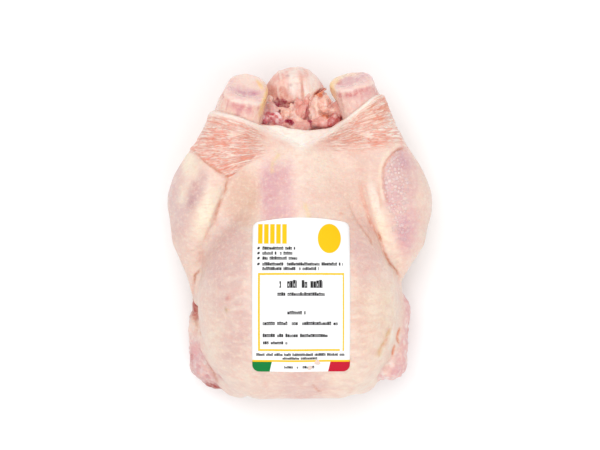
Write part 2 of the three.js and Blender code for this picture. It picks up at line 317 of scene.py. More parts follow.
# Fat and trimmed flesh in the mouth of the cavity: centre, radii, turn and kind of each piece.
VENT_FLESH = (
    ((-20.4, 91.2, 44), (5.2, 4.2, 7), -10, "rose"),
    ((-22.6, 98, 44), (2.4, 2.8, 5.5), 0, "white"),
    ((-27, 88, 43), (5, 7, 7), 0, "rose"),
    ((-20.5, 84.6, 46), (6.4, 4.2, 7), 0, "bloody"),
    ((-27, 81.5, 48), (5, 5, 7), 0, "bloody"),
    ((-16, 79.6, 47), (6.5, 3.6, 7), 0, "bloody"),
    ((-10.2, 86.9, 46), (4.4, 4.8, 7.5), -10, "pale orange"),
    ((-12.4, 82.4, 46), (3, 3.2, 7), 0, "pink"),
    ((-0.1, 88.8, 46.5), (4, 4.2, 6), 0, "pink"),
    ((-0.7, 95.6, 45), (2.8, 3.2, 6), 0, "pink"),
    ((5, 96, 40.5), (3.4, 8, 8), -4, "striped"),
    ((12.3, 89.5, 45), (4.9, 11, 8.5), -2, "white"),
    ((18.4, 95.4, 44), (5.2, 5.4, 8.5), -30, "pale orange"),
    ((19.4, 90.6, 46), (4.4, 3.2, 8.5), -16, "pale orange"),
    ((24.4, 88.9, 46), (3.6, 2.4, 8.5), 12, "white"),
    ((18.9, 84.3, 46.6), (3, 2.0, 8), -8, "rust"),
    ((26.6, 83.2, 48), (4.2, 4.6, 8), -20, "crimson"),
    ((15.5, 78.6, 49), (10, 5.4, 8), 4, "pink"),
    ((25.5, 80, 49.5), (5.4, 5, 8), 20, "crimson"),
    ((29, 91, 46), (4.4, 7, 8), 0, "pink"),
    ((13.6, 101.6, 41), (3.2, 2.2, 5), 40, "rust"),
    ((17.2, 104.9, 39.2), (3.8, 1.3, 4.6), 32, "rust"),
    ((0, 86, 36), (29, 14, 9), 0, "crimson"),
    ((-2, 76, 46), (30, 7, 9), 0, "pink"),
)
FLESH_CORDS = (
    (((-16, 92.6, 47), (-11, 91.4, 48), (-6, 90, 47.5)), 1.5, "pale orange"),
    (((-5.6, 91, 45), (-4.6, 86.2, 47.5), (-1, 81.6, 49), (3.4, 76.6, 50)), 3.0, "white"),
    (((3.4, 96, 45), (4.4, 91, 47), (3.4, 85, 48)), 1.2, "striped"),
)
# Deep places between the pieces: centre, radii and turn.
PITS = (
    ((-14.4, 96.0, 48), (6.4, 2.5, 6), -28),
    ((-8.0, 80.4, 54), (2.6, 1.5, 4), -8),
    ((6.6, 85.8, 52), (0.4, 5.0, 3.6), 8),
)


FLESH_FORMS = (
    [(egg(centre, radii, yaw=yaw), kind) for centre, radii, yaw, kind in VENT_FLESH]
    + [(tube(points, radius), kind) for points, radius, kind in FLESH_CORDS]
)


def skin_edge(x):
    """Where the skin of the legs ends, seen from above: two arms that meet in a V over the belly."""
    out = np.abs(x)
    return np.where(x > 0, 61 + 0.5 * out + 0.0036 * out**2, 62 + 0.62 * out - 0.0035 * out**2)


def route(*points):
    return along(points, flat=True)


# The edge of the opening at the tail end, seen from above. Beyond it lie the hocks and the bare flesh.
OPENING = (
    (-64, 89), (-50, 85.3), (-41, 82.5), (-37.2, 80.8), (-30, 78.1), (-21, 78.1), (-12, 78.8), (-6.8, 78.8),
    (-1.9, 76.7), (2.4, 75.3), (19.3, 75.6), (23.6, 76.7), (33.5, 83.1), (41, 88.5), (50, 95.5), (55, 99),
    (62, 101),
)


def beyond_edge(x, y):
    return y - np.interp(x, *zip(*OPENING))


def opening(p):
    """The space beyond the edge of the skin, above the flesh between the hocks and under them."""
    x, y, z = p
    floor = FLESH_FLOOR + (HOCK_FLOOR - FLESH_FLOOR) * ramp(29, 37, np.abs(x + 1))
    return meet(-beyond_edge(x, y), floor - z, 3)


# Lines on the skin, seen from above.
LEFT_FOLD = route(
    (-53.4, 39.8), (-54, 33.5), (-56.6, 25.3), (-59.6, 18.1), (-61.4, 11.9), (-63.4, 3.7), (-67.5, -2.5),
    (-71.8, -10.8), (-73.6, -19), (-74.8, -29.5)
)
LEFT_NICK = route((-74.8, -29.5), (-78.6, -34), (-80, -43), (-80.5, -50))
RIGHT_FOLD = route(
    (43, 38), (44.5, 31), (46.5, 23), (49.5, 13), (53.3, 3), (55.5, 0), (58.5, -4.4), (60.5, -11.8),
    (62.6, -17), (66.2, -24), (72, -30), (75, -36)
)
RIGHT_FOLD_TWO = route((36, 22), (40, 12), (44.3, 3.9), (47.6, -0.5), (50.6, -5.5), (53, -11))
RIGHT_FOLD_THREE = route((57.3, 51), (58, 40), (58.2, 27), (59.5, 15))
OVAL_RIM = route(
    (77, 60), (74.3, 60), (68.1, 56.3), (63.6, 51.3), (61.1, 45.9), (60.5, 39), (61.3, 31), (63, 24.5),
    (65, 18)
)
BESIDE_OVAL = route((72, 62.5), (66, 58.3), (61.4, 52.3), (58.9, 46), (58.3, 39), (59.1, 31), (60.8, 24))
SLEEVE_HEM = route(
    (-86, 60.5), (-81, 58.5), (-76, 56), (-67.4, 48.3), (-61, 43.6), (-55.2, 39.9), (-51.3, 37.2)
)
THIGH_LINE = route((-81.5, 55), (-83.5, 46), (-85.5, 38), (-88, 22))
NECK_CREASE = route((9, -112), (12, -116), (14.5, -119))
BREAST_CREASE = route((67, -69), (62.5, -79.5), (57, -90))
WING_SLITS = (route((73.8, -73.5), (72, -80), (73.6, -84)), route((70, -86), (69, -93)))
SCRATCHES = [
    route((-57, -5), (-52, -11), (-47, -19)), route((-50, -13), (-44, -19), (-39, -28)),
    route((-62, -13), (-56, -20), (-51, -28)), route((-44, -14), (-39.5, -20)),
]
# Each line with its depth and half width, then how brown it is (partly painted shade) and between which
# shares of its length.
LINES = (
    (LEFT_FOLD, 1.0, 1.3, 0.65, 0.0, 0.5),
    (LEFT_NICK, 1.4, 0.9, 0.7, 0.0, 0.6),
    (RIGHT_FOLD, 1.8, 1.0, 0.95, 0.34, 0.95),
    (RIGHT_FOLD_TWO, 0.8, 1.0, 0.6, 0.45, 1.0),
    (RIGHT_FOLD_THREE, 0.5, 1.4, 0.2, 0.2, 1.0),
    (OVAL_RIM, 1.5, 0.8, 0.6, 0.0, 0.55),
    (SLEEVE_HEM, 1.0, 1.1, 0.6, 0.35, 1.0),
    (NECK_CREASE, 0.8, 1.0, 0.4, 0.0, 1.0),
    (BREAST_CREASE, 0.8, 1.2, 0.3, 0.2, 0.8),
    (WING_SLITS[0], 1.2, 0.8, 0.0, 0.0, 1.0),
    (WING_SLITS[1], 1.2, 0.8, 0.0, 0.0, 1.0),
)
LEFT_FAT_POINTS = ((-60, 36), (-63, 28), (-67.4, 18), (-71.6, 7), (-75.4, -4), (-78.4, -14))
RIGHT_FAT_POINTS = ((52, 37), (53.3, 28), (55.5, 18), (58.7, 7), (62, -3), (66.5, -13), (71, -20))
LEFT_FAT, RIGHT_FAT = route(*LEFT_FAT_POINTS), route(*RIGHT_FAT_POINTS)
LEFT_FAT_HALF, RIGHT_FAT_HALF = 5.4, 3.2  # half widths of the strips of fat
VALLEY_DEPTH, VALLEY_WIDTH = 1.3, 4.5


def bird_form():
    body, neck, rump = torso(), neck_skin(), tail()
    legs = [leg(s) for s in SIDES]
    left_wing, right_wing = [wing(s) for s in SIDES]
    hollow = egg(*CAVITY)
    pits = [egg(centre, radii, yaw=yaw) for centre, radii, yaw in PITS]

    def form(p):
        x, y, z = p
        d = soft(body(p), nearest(legs, p), 9 + 11 * ramp(0, 60, y))
        d = soft(d, left_wing(p), 1.6)
        d = soft(d, right_wing(p), 2.5 + 10 * ramp(18, 34, z) * ramp(-102, -84, y))
        d = soft(d, neck(p), 7)
        upper = ramp(34, 48, z)
        for fold in (LEFT_FOLD, RIGHT_FOLD):
            far, share = fold(p)
            fade = 0.3 + 0.7 * ramp(0, 0.2, share)
            d = d + VALLEY_DEPTH * hump(far, VALLEY_WIDTH) * upper * fade
        cover = SKIN * ramp(2.0, -2.0, y - skin_edge(x)) * ramp(36, 50, z)
        d = d - cover * (0.45 + 0.55 * ramp(20, 34, np.abs(x)))
        d = carve(d, opening(p), 2.5)
        d = soft(d, rump(p), 8)
        d = carve(d, hollow(p), 5)
        d = carve(d, nearest(pits, p), 1.5)
        return carve(d, z, 3)

    return form


def ragged(p):
    """The points moved a little each its own way, so that forms read there come out irregular."""
    x, y, z = p
    broad = [noise(x / 5.2, y / 5.2, z / 5.2, seed) for seed in (121, 122, 123)]
    fine = [noise(x / 2.2, y / 2.2, z / 2.2, seed) for seed in (124, 125, 126)]
    return [v + np.float32(1.5) * a + np.float32(0.5) * b for v, a, b in zip(p, broad, fine)]


def flesh_form():
    whole = join(2.2, *[form for form, _ in FLESH_FORMS])
    pits = [egg(centre, radii, yaw=yaw) for centre, radii, yaw in PITS]

    def form(p):
        moved = ragged(p)
        return carve(whole(moved), nearest(pits, moved), 1.0)

    return form


def hock_form(s):
    """The knob, with the rest of the joint showing beyond its face and swelling on its outer side."""
    centre, radii = HOCK_BACK[s]
    swelling = egg((s * 51.5, 89.5, 57), (9, 11, 12))
    whole = join(8, hock(s), swelling, egg(centre, radii, yaw=s * 8))
    return lambda p: meet(whole(p), -TUCKED - beyond_edge(p[0], p[1]), 1.5)


# ------------------------------------------------------------------ meshing
CELL_CORNERS = [(i, j, k) for i in (0, 1) for j in (0, 1) for k in (0, 1)]
FACE_CORNERS = ((0, 0), (1, 0), (0, 1), (1, 1))
CLEARED = 1e-3  # how far from the surface a corner is put when it is moved to the other side


def in_parts(function, p, size=400_000):
    """A function of points, worked out a part at a time to keep memory low."""
    count = len(p[0])
    parts = [function([v[n : n + size] for v in p]) for n in range(0, count, size)]
    return np.concatenate(parts) if parts else np.zeros(0, np.float32)


def sampled(form, low, high, cell):
    """The form on a fine grid, exact near its surface and only right in sign elsewhere."""
    group = 4
    counts = [int(math.ceil((b - a) / (cell * group))) for a, b in zip(low, high)]
    coarse = [a + cell * group * np.arange(n + 1) for a, n in zip(low, counts)]
    shape = [n + 1 for n in counts]
    grid = np.meshgrid(*[c.astype(np.float32) for c in coarse], indexing="ij")
    rough = in_parts(form, [g.ravel() for g in grid]).reshape(shape)
    near = np.abs(rough) < group * cell * 1.8 + 2
    block = np.zeros([n for n in counts], bool)
    for corner in range(8):
        i, j, k = [(corner >> axis) & 1 for axis in range(3)]
        block |= near[i : i + counts[0], j : j + counts[1], k : k + counts[2]]
    values = rough[:-1, :-1, :-1]
    for axis in range(3):
        values = values.repeat(group, axis)
        block = block.repeat(group, axis)
    index = np.nonzero(block)
    points = [np.float32(low[axis]) + np.float32(cell) * index[axis].astype(np.float32) for axis in range(3)]
    values[index] = in_parts(form, points)
    return values


def corner_of_faces(grid, a, b, i, j):
    """The part of a grid that lies at one corner of each of its faces, i along axis a and j along axis b."""
    part = [slice(None)] * 3
    part[a] = slice(i, grid.shape[a] - 1 + i)
    part[b] = slice(j, grid.shape[b] - 1 + j)
    return grid[tuple(part)]


def flip_weakest(values, spot, a, b):
    """Moves the corner of a grid face that lies nearest the surface to the other side of it."""
    corners = []
    for i, j in FACE_CORNERS:
        corner = spot.copy()
        corner[a] += i
        corner[b] += j
        corners.append(tuple(corner))
    weakest = min(corners, key=lambda c: abs(values[c]))
    values[weakest] = CLEARED if values[weakest] < 0 else -CLEARED


def composed(values):
    """Flips the weakest corner of each grid face whose corners alternate, so the mesh can't pinch."""
    for _ in range(CLEANUPS):
        inside = values < 0
        changed = 0
        for a, b in ((0, 1), (0, 2), (1, 2)):
            s00, s10, s01, s11 = (corner_of_faces(inside, a, b, i, j) for i, j in FACE_CORNERS)
            spots = np.argwhere((s00 == s11) & (s10 == s01) & (s00 != s10))
            for spot in spots:
                flip_weakest(values, spot, a, b)
            changed += len(spots)
        if not changed:
            break
    return values


def cell_points(values, low, cell, cells):
    """One point in each cell, in the middle of where the surface cuts the cell's edges."""
    total = np.zeros((len(cells), 3))
    cuts = np.zeros(len(cells))
    for axis in range(3):
        for corner in CELL_CORNERS:
            if corner[axis]:
                continue
            start = cells + np.array(corner)
            end = start.copy()
            end[:, axis] += 1
            a, b = values[tuple(start.T)], values[tuple(end.T)]
            cut = (a < 0) != (b < 0)
            share = np.where(cut, a / np.where(cut, a - b, 1), 0)
            spot = start.astype(float)
            spot[:, axis] += share
            total += np.where(cut[:, None], spot, 0)
            cuts += cut
    return np.array(low) + cell * total / cuts[:, None]


def edge_squares(inside, number):
    """One square across each grid edge that the surface cuts, as the numbers of the cells round it."""
    squares = []
    for axis in range(3):
        b, c = (axis + 1) % 3, (axis + 2) % 3
        first, second = [slice(1, -1)] * 3, [slice(1, -1)] * 3
        first[axis], second[axis] = slice(0, -1), slice(1, None)
        edges = np.argwhere(inside[tuple(first)] != inside[tuple(second)])
        edges[:, b] += 1
        edges[:, c] += 1
        starts = inside[tuple(edges.T)]
        ring = []
        for db, dc in ((1, 1), (0, 1), (0, 0), (1, 0)):
            at = edges.copy()
            at[:, b] -= db
            at[:, c] -= dc
            ring.append(number[tuple(at.T)])
        ring = np.stack(ring, 1)
        ring[~starts] = ring[~starts][:, ::-1]
        squares.append(ring)
    return np.concatenate(squares)


def net(values, low, cell):
    """The surface through a grid of values, as points and squares."""
    inside = values < 0
    nx, ny, nz = values.shape
    within = sum(
        inside[i : nx - 1 + i, j : ny - 1 + j, k : nz - 1 + k].astype(np.int8) for i, j, k in CELL_CORNERS
    )
    active = (within > 0) & (within < 8)
    cells = np.argwhere(active)
    number = np.full(active.shape, -1, np.int64)
    number[active] = np.arange(len(cells))
    return cell_points(values, low, cell, cells), edge_squares(inside, number)


def slopes(form, points, step=0.35):
    """The way out of the surface at each point, and how fast the form grows that way."""
    p = [points[:, axis].astype(np.float32) for axis in range(3)]
    out = np.zeros((len(points), 3))
    for axis in range(3):
        ahead, behind = list(p), list(p)
        ahead[axis] = p[axis] + np.float32(step)
        behind[axis] = p[axis] - np.float32(step)
        out[:, axis] = (in_parts(form, ahead) - in_parts(form, behind)) / (2 * step)
    length = np.maximum(np.linalg.norm(out, axis=1), 1e-6)
    return out / length[:, None], length


def meshed(form, box, cell):
    """The surface of a form inside a box: its points, its squares and the way out at each point."""
    low, high = box
    points, squares = net(composed(sampled(form, low, high, cell)), low, cell)
    way, growth = slopes(form, points)
    here = in_parts(form, [points[:, axis].astype(np.float32) for axis in range(3)])
    move = np.clip(here / np.maximum(growth, 0.5), -cell / 2, cell / 2)
    return points - way * move[:, None], squares, way


# ------------------------------------------------------------------ where each kind of skin lies
def patch(p, centre, radii, yaw=0, soft_edge=0.45):
    """1 inside an ellipse seen from above, fading to 0 at its edge."""
    a = math.radians(yaw)
    dx, dy = p[0] - centre[0], p[1] - centre[1]
    u = (math.cos(a) * dx + math.sin(a) * dy) / radii[0]
    v = (-math.sin(a) * dx + math.cos(a) * dy) / radii[1]
    return ramp(1 + soft_edge, 1 - soft_edge, np.sqrt(u * u + v * v))


def fat_strip(p, path, points, half, inner):
    """A strip of fat along a route, sharp on its inner side, towards the keel, and soft on the outer."""
    far, share = path(p)
    y, x = zip(*[(point[1], point[0]) for point in reversed(points)])
    beside = (p[0] - np.interp(p[1], y, x)) * inner
    edge = np.where(beside > 0, 1.6, 4.5)
    return ramp(half + edge, half - edge, far) * ramp(1.0, 0.6, share) * ramp(-0.1, 0.5, share)


HEM = (  # where the wrinkled skin of the left leg begins, seen from above
    (-100, 60), (-86, 60.5), (-76, 56), (-67.4, 48.3), (-55.2, 39.9), (-51.3, 37.2), (-42, 46), (-24, 56),
    (0, 60)
)
FAN = (0, 61)  # where the wrinkles of both legs run together
WRINKLE_REACH = 60  # the distance from there at which their spacing is true
WRINKLE_STRETCH = 0.165  # how much longer than wide the fine lines between them are drawn
TAIL_MIDLINE = -5
TAIL_SLIT = route((12.6, 101.6), (15.2, 104.2), (19, 106.4))


def fan(p):
    """How far out along the wrinkles of the legs, and how far across them."""
    dx, dy = np.abs(p[0] - FAN[0]), p[1] - FAN[1]
    return np.sqrt(dx**2 + dy**2), np.arctan2(dy, dx) * WRINKLE_REACH


def sleeves(x, y):
    """Where the wrinkled skin of both ankles lies, seen from above."""
    wander = noise(x / 9, y / 9, 0 * x, 3)
    past_hem = y - np.interp(x, *zip(*HEM)) - 1.5 * wander * (x > -50)
    left_sleeve = ramp(-1.5, 1.5, past_hem) * ramp(-16, -38, x)
    right_sleeve = ramp(54, 66, y + 4 * wander) * ramp(4, 26, x)
    return left_sleeve + right_sleeve


def fat_strips(p):
    left_fat = fat_strip(p, LEFT_FAT, LEFT_FAT_POINTS, LEFT_FAT_HALF, 1)
    right_fat = fat_strip(p, RIGHT_FAT, RIGHT_FAT_POINTS, RIGHT_FAT_HALF, -1)
    return np.maximum(left_fat, right_fat)


def thigh_oval(p):
    """The bare oval on the right thigh, seen from above, and its paler end towards the wing."""
    return np.maximum(
        patch(p, (74, 36), (13.5, 25), -4, 0.12), 0.85 * patch(p, (78.5, 6), (9.5, 24), 6, 0.4)
    )


def wing_skin(p, thin, s):
    x, y, z = p
    return ramp(6, 1, np.abs(wing(s)(thin))) * ramp(-30, -44, y) * ramp(58, 44, z) * (s * x > 0)


def regions(p, out):
    """How much of each kind of surface there is at each point, where out is the way out of it."""
    x, y, z = p
    thin = [v.astype(np.float32) for v in p]
    top = ramp(0.0, 0.5, out[2])
    from_edge = skin_edge(x) - y
    on_leg = ramp(17, 44, z) * (from_edge > 0) * ramp(125, 110, y)
    return {
        "top": top,
        "from_edge": from_edge,
        "sleeve": sleeves(x, y) * on_leg,
        "rim": hump(from_edge - 1.2, 2.6) * on_leg * ramp(52, 58, z),
        "flap": (
            ramp(-1.5, 0, -from_edge) * ramp(83, 78, y) * ramp(36, 28, np.abs(x))
            * ramp(52, 58, z) * ramp(-0.2, 0.2, out[2])
        ),
        "fat": fat_strips(p) * top,
        "oval": thigh_oval(p) * ramp(20, 40, z),
        "cavity": ramp(3, 0.5, egg(*CAVITY)(thin)) * (out[2] < 0.98),
        "vent": (
            ramp(-1.5, 0.5, beyond_edge(x, y)) * np.maximum(ramp(53, 48, z), ramp(0.4, 0.7, out[1]))
            * ramp(30, 42, z) * ramp(52, 38, np.abs(x))
        ),
        "tail": ramp(90, 99, y) * ramp(56, 48, z) * (np.abs(x + 4) < 36),
        "wing_left": wing_skin(p, thin, -1),
        "wing_right": wing_skin(p, thin, 1),
    }


# ------------------------------------------------------------------ relief, in millimetres
def wrinkles(p):
    """Ridges that run across both ankles and fan out from the point of the V, between -1 and 1."""
    run, across = fan(p)
    side = np.sign(p[0])
    across = across + 1.9 * noise(run / 10, across / 7, side * 3, 11)
    across = across + 0.9 * noise(run / 4.5, across / 3.5, side * 5, 12)
    broad = 1 - 2.2 * np.abs(noise(run / 19, across / 2.7, side * 2, 13))
    fine = 1 - 2.2 * np.abs(noise(run / 9, across / 1.5, side * 4, 14))
    return np.clip(0.65 * broad + 0.4 * fine, -1, 1) * ramp(6, 34, run)


def breast_ridges(p):
    """Low ridges that run across the breast, between -1 and 1."""
    x, y, z = p
    sway = 1.2 * noise(x / 11, y / 11, z / 11, 65)
    return noise(x / 6.5, y / 2.2 + sway, z / 9, 69)


def across_tail(p):
    return p[0] - TAIL_MIDLINE + 0.1 * (p[1] - 100)


def tail_veins(p):
    x, y, z = p
    return noise(across_tail(p) / 2.8, (y + x) / 15, z / 12, 151)


def leg_relief(height, p, out, skin):
    """The wrinkles of the ankles and the raised edge of the skin."""
    coarse = 0.8 + 0.45 * patch(p, (62, 76), (22, 20))
    seen = 0.35 + 0.65 * ramp(0.1, 0.5, out[2])
    height = height + coarse * seen * wrinkles(p) * skin["sleeve"] * (1 - 0.7 * skin["rim"])
    return height + 0.4 * skin["rim"] * (1 + 0.3 * mottle(p, 6, 31))


def line_relief(height, p, skin, low_skin):
    """Folds and creases, the hem of the left ankle's skin and the strips of fat."""
    x, y, z = p
    for path, depth, width, *_ in LINES:
        far, share = path(p)
        ends = ramp(0, 0.12, share) * ramp(1, 0.9, share)
        uneven = 0.75 + 0.5 * noise(x / 5, y / 5, 0 * x, 33)
        height = height - depth * hump(far, width) * ends * uneven * low_skin
    hem = np.interp(x, *zip(*HEM))
    roll = 0.9 * ramp(-1.2, 1.0, y - hem) * ramp(9, 2, y - hem)
    height = height + roll * patch(p, (-68, 52), (22, 14)) * low_skin
    return height + skin["fat"] * low_skin * (0.8 + 0.25 * noise(x / 2.6 + y / 9, y / 24, 0 * x, 59))


def breast_relief(height, p, lean, low_skin):
    """Ridges across the breast, scratches on it and creases beside the thighs."""
    x, y, z = p
    ridged = patch(p, (34, -84), (36, 44)) + patch(p, (-44, -74), (22, 48)) + patch(p, (76, 0), (14, 22))
    height = height + 0.42 * breast_ridges(p) * np.clip(ridged, 0, 1) * lean
    for path in SCRATCHES:
        height = height + 0.4 * hump(path(p)[0], 0.6) * low_skin
    height = height + 0.5 * hump(THIGH_LINE(p)[0], 2.2) * low_skin
    creased = patch(p, (-76, -22), (7, 18), 12) + patch(p, (66, -14), (7, 20), -30)
    return height + 0.55 * noise((x + 0.6 * y) / 9, (y - 0.6 * x) / 2.6, z / 9, 61) * creased * low_skin


def wing_relief(height, p, skin):
    """Lumps on the left wing, lumps and long folds on the right one, and the gathered skin by both."""
    x, y, z = p
    height = height + (0.9 * mottle(p, 6, 35) + 0.45 * mottle(p, 2.8, 37, 1)) * skin["wing_left"]
    low_wing = ramp(-76, -92, y)
    flow = noise((x - 0.1 * y) / 2.8, y / 22, z / 14, 39)
    lumps = (0.3 + 0.6 * low_wing) * mottle(p, 7, 41) + 0.7 * mottle(p, 2.6, 42, 1)
    height = height + skin["wing_right"] * (0.55 * flow + lumps)
    gathered = patch(p, (50, -105), (22, 20), 0, 0.4) + 0.6 * patch(p, (-50, -108), (20, 18), 0, 0.4)
    return height + 0.35 * noise((x + y) / 16, (x - y) / 2.7, z / 9, 43) * gathered


def bare_relief(height, p, skin):
    """Lumps on bare flesh, in the cavity and on the tail, with the tail's two lobes, folds and slit."""
    x, y, z = p
    lumps = 0.9 * mottle(p, 7, 45) + 0.5 * mottle(p, 2.8, 47, 2)
    height = height + lumps * skin["vent"] * (1 - skin["tail"])
    height = height - 0.8 * mottle(p, 12, 55) * skin["cavity"]
    across = across_tail(p)
    lobes = hump(np.abs(across) - 9.5, 5.5) - 0.8 * hump(across, 3.2)
    folds = 0.6 * noise(across / 2.6, y / 14, z / 9, 57) + 0.7 * mottle(p, 6, 58, 2)
    folds = folds + 0.7 * tail_veins(p)
    height = height + (1.5 * lobes + folds) * skin["tail"] * skin["top"]
    return height - 2.6 * hump(TAIL_SLIT(p)[0], 1.5) * skin["tail"]


def relief(p, out, skin):
    """How far the skin rises or sinks at each point."""
    z = p[2]
    lean, low_skin = ramp(0, 20, z), ramp(30, 44, z)
    height = 0.4 * mottle(p, 24, 21, 2) + (0.34 * mottle(p, 9, 25, 2) + 0.1 * mottle(p, 3.4, 27, 1)) * lean
    height = leg_relief(height, p, out, skin)
    height = line_relief(height, p, skin, low_skin)
    height = breast_relief(height, p, lean, low_skin)
    height = wing_relief(height, p, skin)
    height = bare_relief(height, p, skin)
    return height * ramp(SETTLED, 8, z)


def flesh_relief(p):
    return 0.75 * mottle(p, 5, 63, 3) + 0.3 * mottle(p, 1.8, 67, 1)


def face_axes(p, s):
    """Where each point is on a hock: across its face, up its face and out from it."""
    middle, side, up, face = hock_axes(s)
    away = [p[i] - middle[i] for i in range(3)]
    return dotted(away, side), dotted(away, up), dotted(away, face)


def hock_relief(s):
    def swell(p):
        u, v, h = face_axes(p, s)
        radius = np.sqrt(u * u + v * v)
        on_face = ramp(-2.5, -0.8, h)
        height = 0.5 * mottle(p, 9, 71, 2) + 0.22 * mottle(p, 3.2, 73, 2)
        height = height + 0.7 * hump(radius - 13.5 + 1.5 * noise(u / 6, v / 6, 0 * u, 75), 2.0) * on_face
        height = height - 1.3 * hump(u - 3 * s + 0.2 * v, 3.2) * on_face * ramp(12, 7, radius)
        return height + 0.4 * noise(np.arctan2(v, u) * 6, h / 12, 0 * u, 77) * ramp(-1, -5, h)

    return swell


# ------------------------------------------------------------------ colour
def rgb(red, green, blue):
    """A colour as it looks on a screen, from 0 to 255, turned into light."""
    c = np.array([red, green, blue]) / 255
    return np.where(c <= 0.04045, c / 12.92, ((c + 0.055) / 1.055) ** 2.4)


CREAM = rgb(252, 228, 210)
ROSE = rgb(238, 199, 186)
MAUVE = rgb(229, 187, 180)
SALMON = rgb(255, 209, 194)
SALMON_DEEP = rgb(236, 152, 124)
WRINKLE_LINE = rgb(230, 118, 88)
# Crease brown, partly painted shade in the creases.
CREASE_BROWN_AND_SHADE = rgb(206, 118, 76)
RIDGE = rgb(255, 238, 222)
BEIGE = rgb(234, 190, 166)
BRIGHT = rgb(255, 246, 236)
LILAC = rgb(226, 169, 176)
LILAC_GREY = rgb(222, 186, 188)
BRUISE_LILAC = rgb(200, 148, 152)
BUTTER = rgb(255, 239, 214)
YELLOW_FAT = rgb(246, 216, 158)
PALE = rgb(252, 233, 220)
GRISTLE = rgb(244, 206, 204)
GRISTLE_SIDE = rgb(242, 202, 186)
GRISTLE_RIM = rgb(255, 216, 146)
GRISTLE_BRIM = rgb(255, 226, 172)
GRISTLE_MARK = rgb(212, 146, 166)
GRISTLE_RED = rgb(208, 90, 98)
SIDE_MARK = rgb(214, 134, 148)
JOINT = rgb(254, 234, 218)
FLESH = {
    "bloody": rgb(226, 132, 146),
    "crimson": rgb(200, 88, 88),
    "rose": rgb(222, 176, 174),
    "pink": rgb(234, 166, 154),
    "striped": rgb(226, 150, 138),
    "orange": rgb(244, 182, 150),
    "pale orange": rgb(244, 196, 178),
    "rust": rgb(222, 114, 56),
    "white": rgb(246, 206, 190),
}
FLESH_LIGHT = rgb(252, 222, 212)
FLESH_WHITE = rgb(250, 232, 232)
FLESH_RED = rgb(204, 56, 80)
FLESH_PURPLE = rgb(158, 84, 122)
# Dark maroon: partly the flesh's own colour, partly painted shade in the cavity, its pits and low in the
# opening.
FLESH_MAROON_AND_SHADE = rgb(160, 14, 58)
# Dark red painted shade, on the flesh at the skin's edge and between its pieces.
FLESH_SHADE = rgb(176, 66, 72)
TAIL_SHADE = rgb(218, 146, 128)
WING_PINK = rgb(236, 178, 176)
# Rust colour, also used for a line of painted shade under the neck.
RUST_AND_SHADE = rgb(226, 150, 104)
OCHRE = rgb(222, 180, 116)
RAW_RED = rgb(180, 62, 52)
RAW_ORANGE = rgb(232, 128, 78)
SPOTS = (
    ((-52, -49.3), (2.2, 1.8), rgb(224, 150, 142)), ((-53.2, -57.6), (1.3, 2), rgb(204, 168, 128)),
    ((-21.5, 25), (1.2, 1), rgb(214, 140, 120)), ((30, 12), (1.4, 1), rgb(226, 156, 132)),
)
FOLLICLE_TIP = rgb(251, 228, 220)
SKIN_BLOTCH, SKIN_PALE_SPOT, SKIN_STREAK = rgb(232, 172, 158), rgb(253, 236, 214), rgb(228, 168, 150)


# The shares of red, green and blue left of a tint: on the skin, on its left half besides as painted shade,
# and on the hocks.
LESS, PAINTED_SHADE_LEFT = np.array((0.905, 0.92, 0.935)), np.array((0.945, 0.96, 0.965))
LESS_HOCK = np.array((0.92, 0.88, 0.89))

# Patches of colour on the skin: colour, strength, the patch's centre, radii and turn, how strong it is on an
# even spot, how much mottling adds to that, and whether it lies only on the bird's upper side.
BELLY_PATCHES = (
    (CREAM, 0.9, (-2, 46), (34, 16), 0, 1, 0, True),
    (BEIGE, 0.9, (-42, 22), (13, 22), -10, 1, 0, True),
)
BREAST_PATCHES = (
    (BEIGE, 0.22, (32, 30), (20, 30), 0, 1, 0, True),
    (ROSE, 0.25, (0, 34), (12, 12), 0, 1, 0, True),
    (BEIGE, 0.5, (49, -66), (12, 28), 4, 1, 0, False),
    (OCHRE, 0.25, (63, -65), (6, 24), 4, 1, 0, False),
    (MAUVE, 0.95, (-54, -22), (17, 30), -14, 0.85, 0.4, True),
    (MAUVE, 0.85, (48, -18), (11, 26), 14, 0.8, 0.4, True),
    (MAUVE, 0.8, (-48, -68), (13, 28), 0, 0.8, 0.6, False),
    (LILAC_GREY, 0.9, (-92, 28), (8, 28), 8, 0.8, 0.5, False),
)
SIDE_PATCHES = (
    (MAUVE, 0.5, (-90, 5), (9, 30), 0, 0.6, 0.7, False),
    (BUTTER, 0.7, (60, -62), (12, 30), 4, 0.6, 0.8, False),
    (BUTTER, 0.7, (44, -100), (24, 20), 0, 0.6, 0.8, False),
    (BUTTER, 0.6, (-66, -86), (7, 30), -22, 0.6, 0.6, False),
    (BUTTER, 0.5, (-82, 50), (6, 12), 24, 1, 0, False),
    (MAUVE, 0.8, (2, -116), (16, 14), 0, 0.8, 0.5, False),
    (CREAM, 0.8, (78, -12), (10, 20), -16, 1, 0, False),
)
# Patches of colour on the tail: colour, strength, the patch's centre, radii, turn and softness.
TAIL_PATCHES = (
    (FLESH["pink"], 0.6, (-16, 115), (4, 3), 0, 0.6),
    (FLESH["pink"], 0.6, (3.5, 118), (5, 4), 0, 0.6),
    (FLESH["pink"], 0.6, (12, 96), (5, 5), 0, 0.6),
    (TAIL_SHADE, 0.5, (1.5, 104), (2, 10), 0, 0.6),
    (BRIGHT, 0.65, (-5.5, 110.5), (4.2, 8.5), -8, 0.6),
    (BRIGHT, 0.7, (12, 107), (3.6, 12), 8, 0.5),
    (BRUISE_LILAC, 0.6, (-6.7, 108.6), (1.4, 1.1), 0, 0.6),
    (BRUISE_LILAC, 0.6, (-1.8, 109.6), (1.4, 1.1), 0, 0.6),
    (BRUISE_LILAC, 0.6, (-9.5, 116), (1.4, 1.1), 0, 0.6),
)
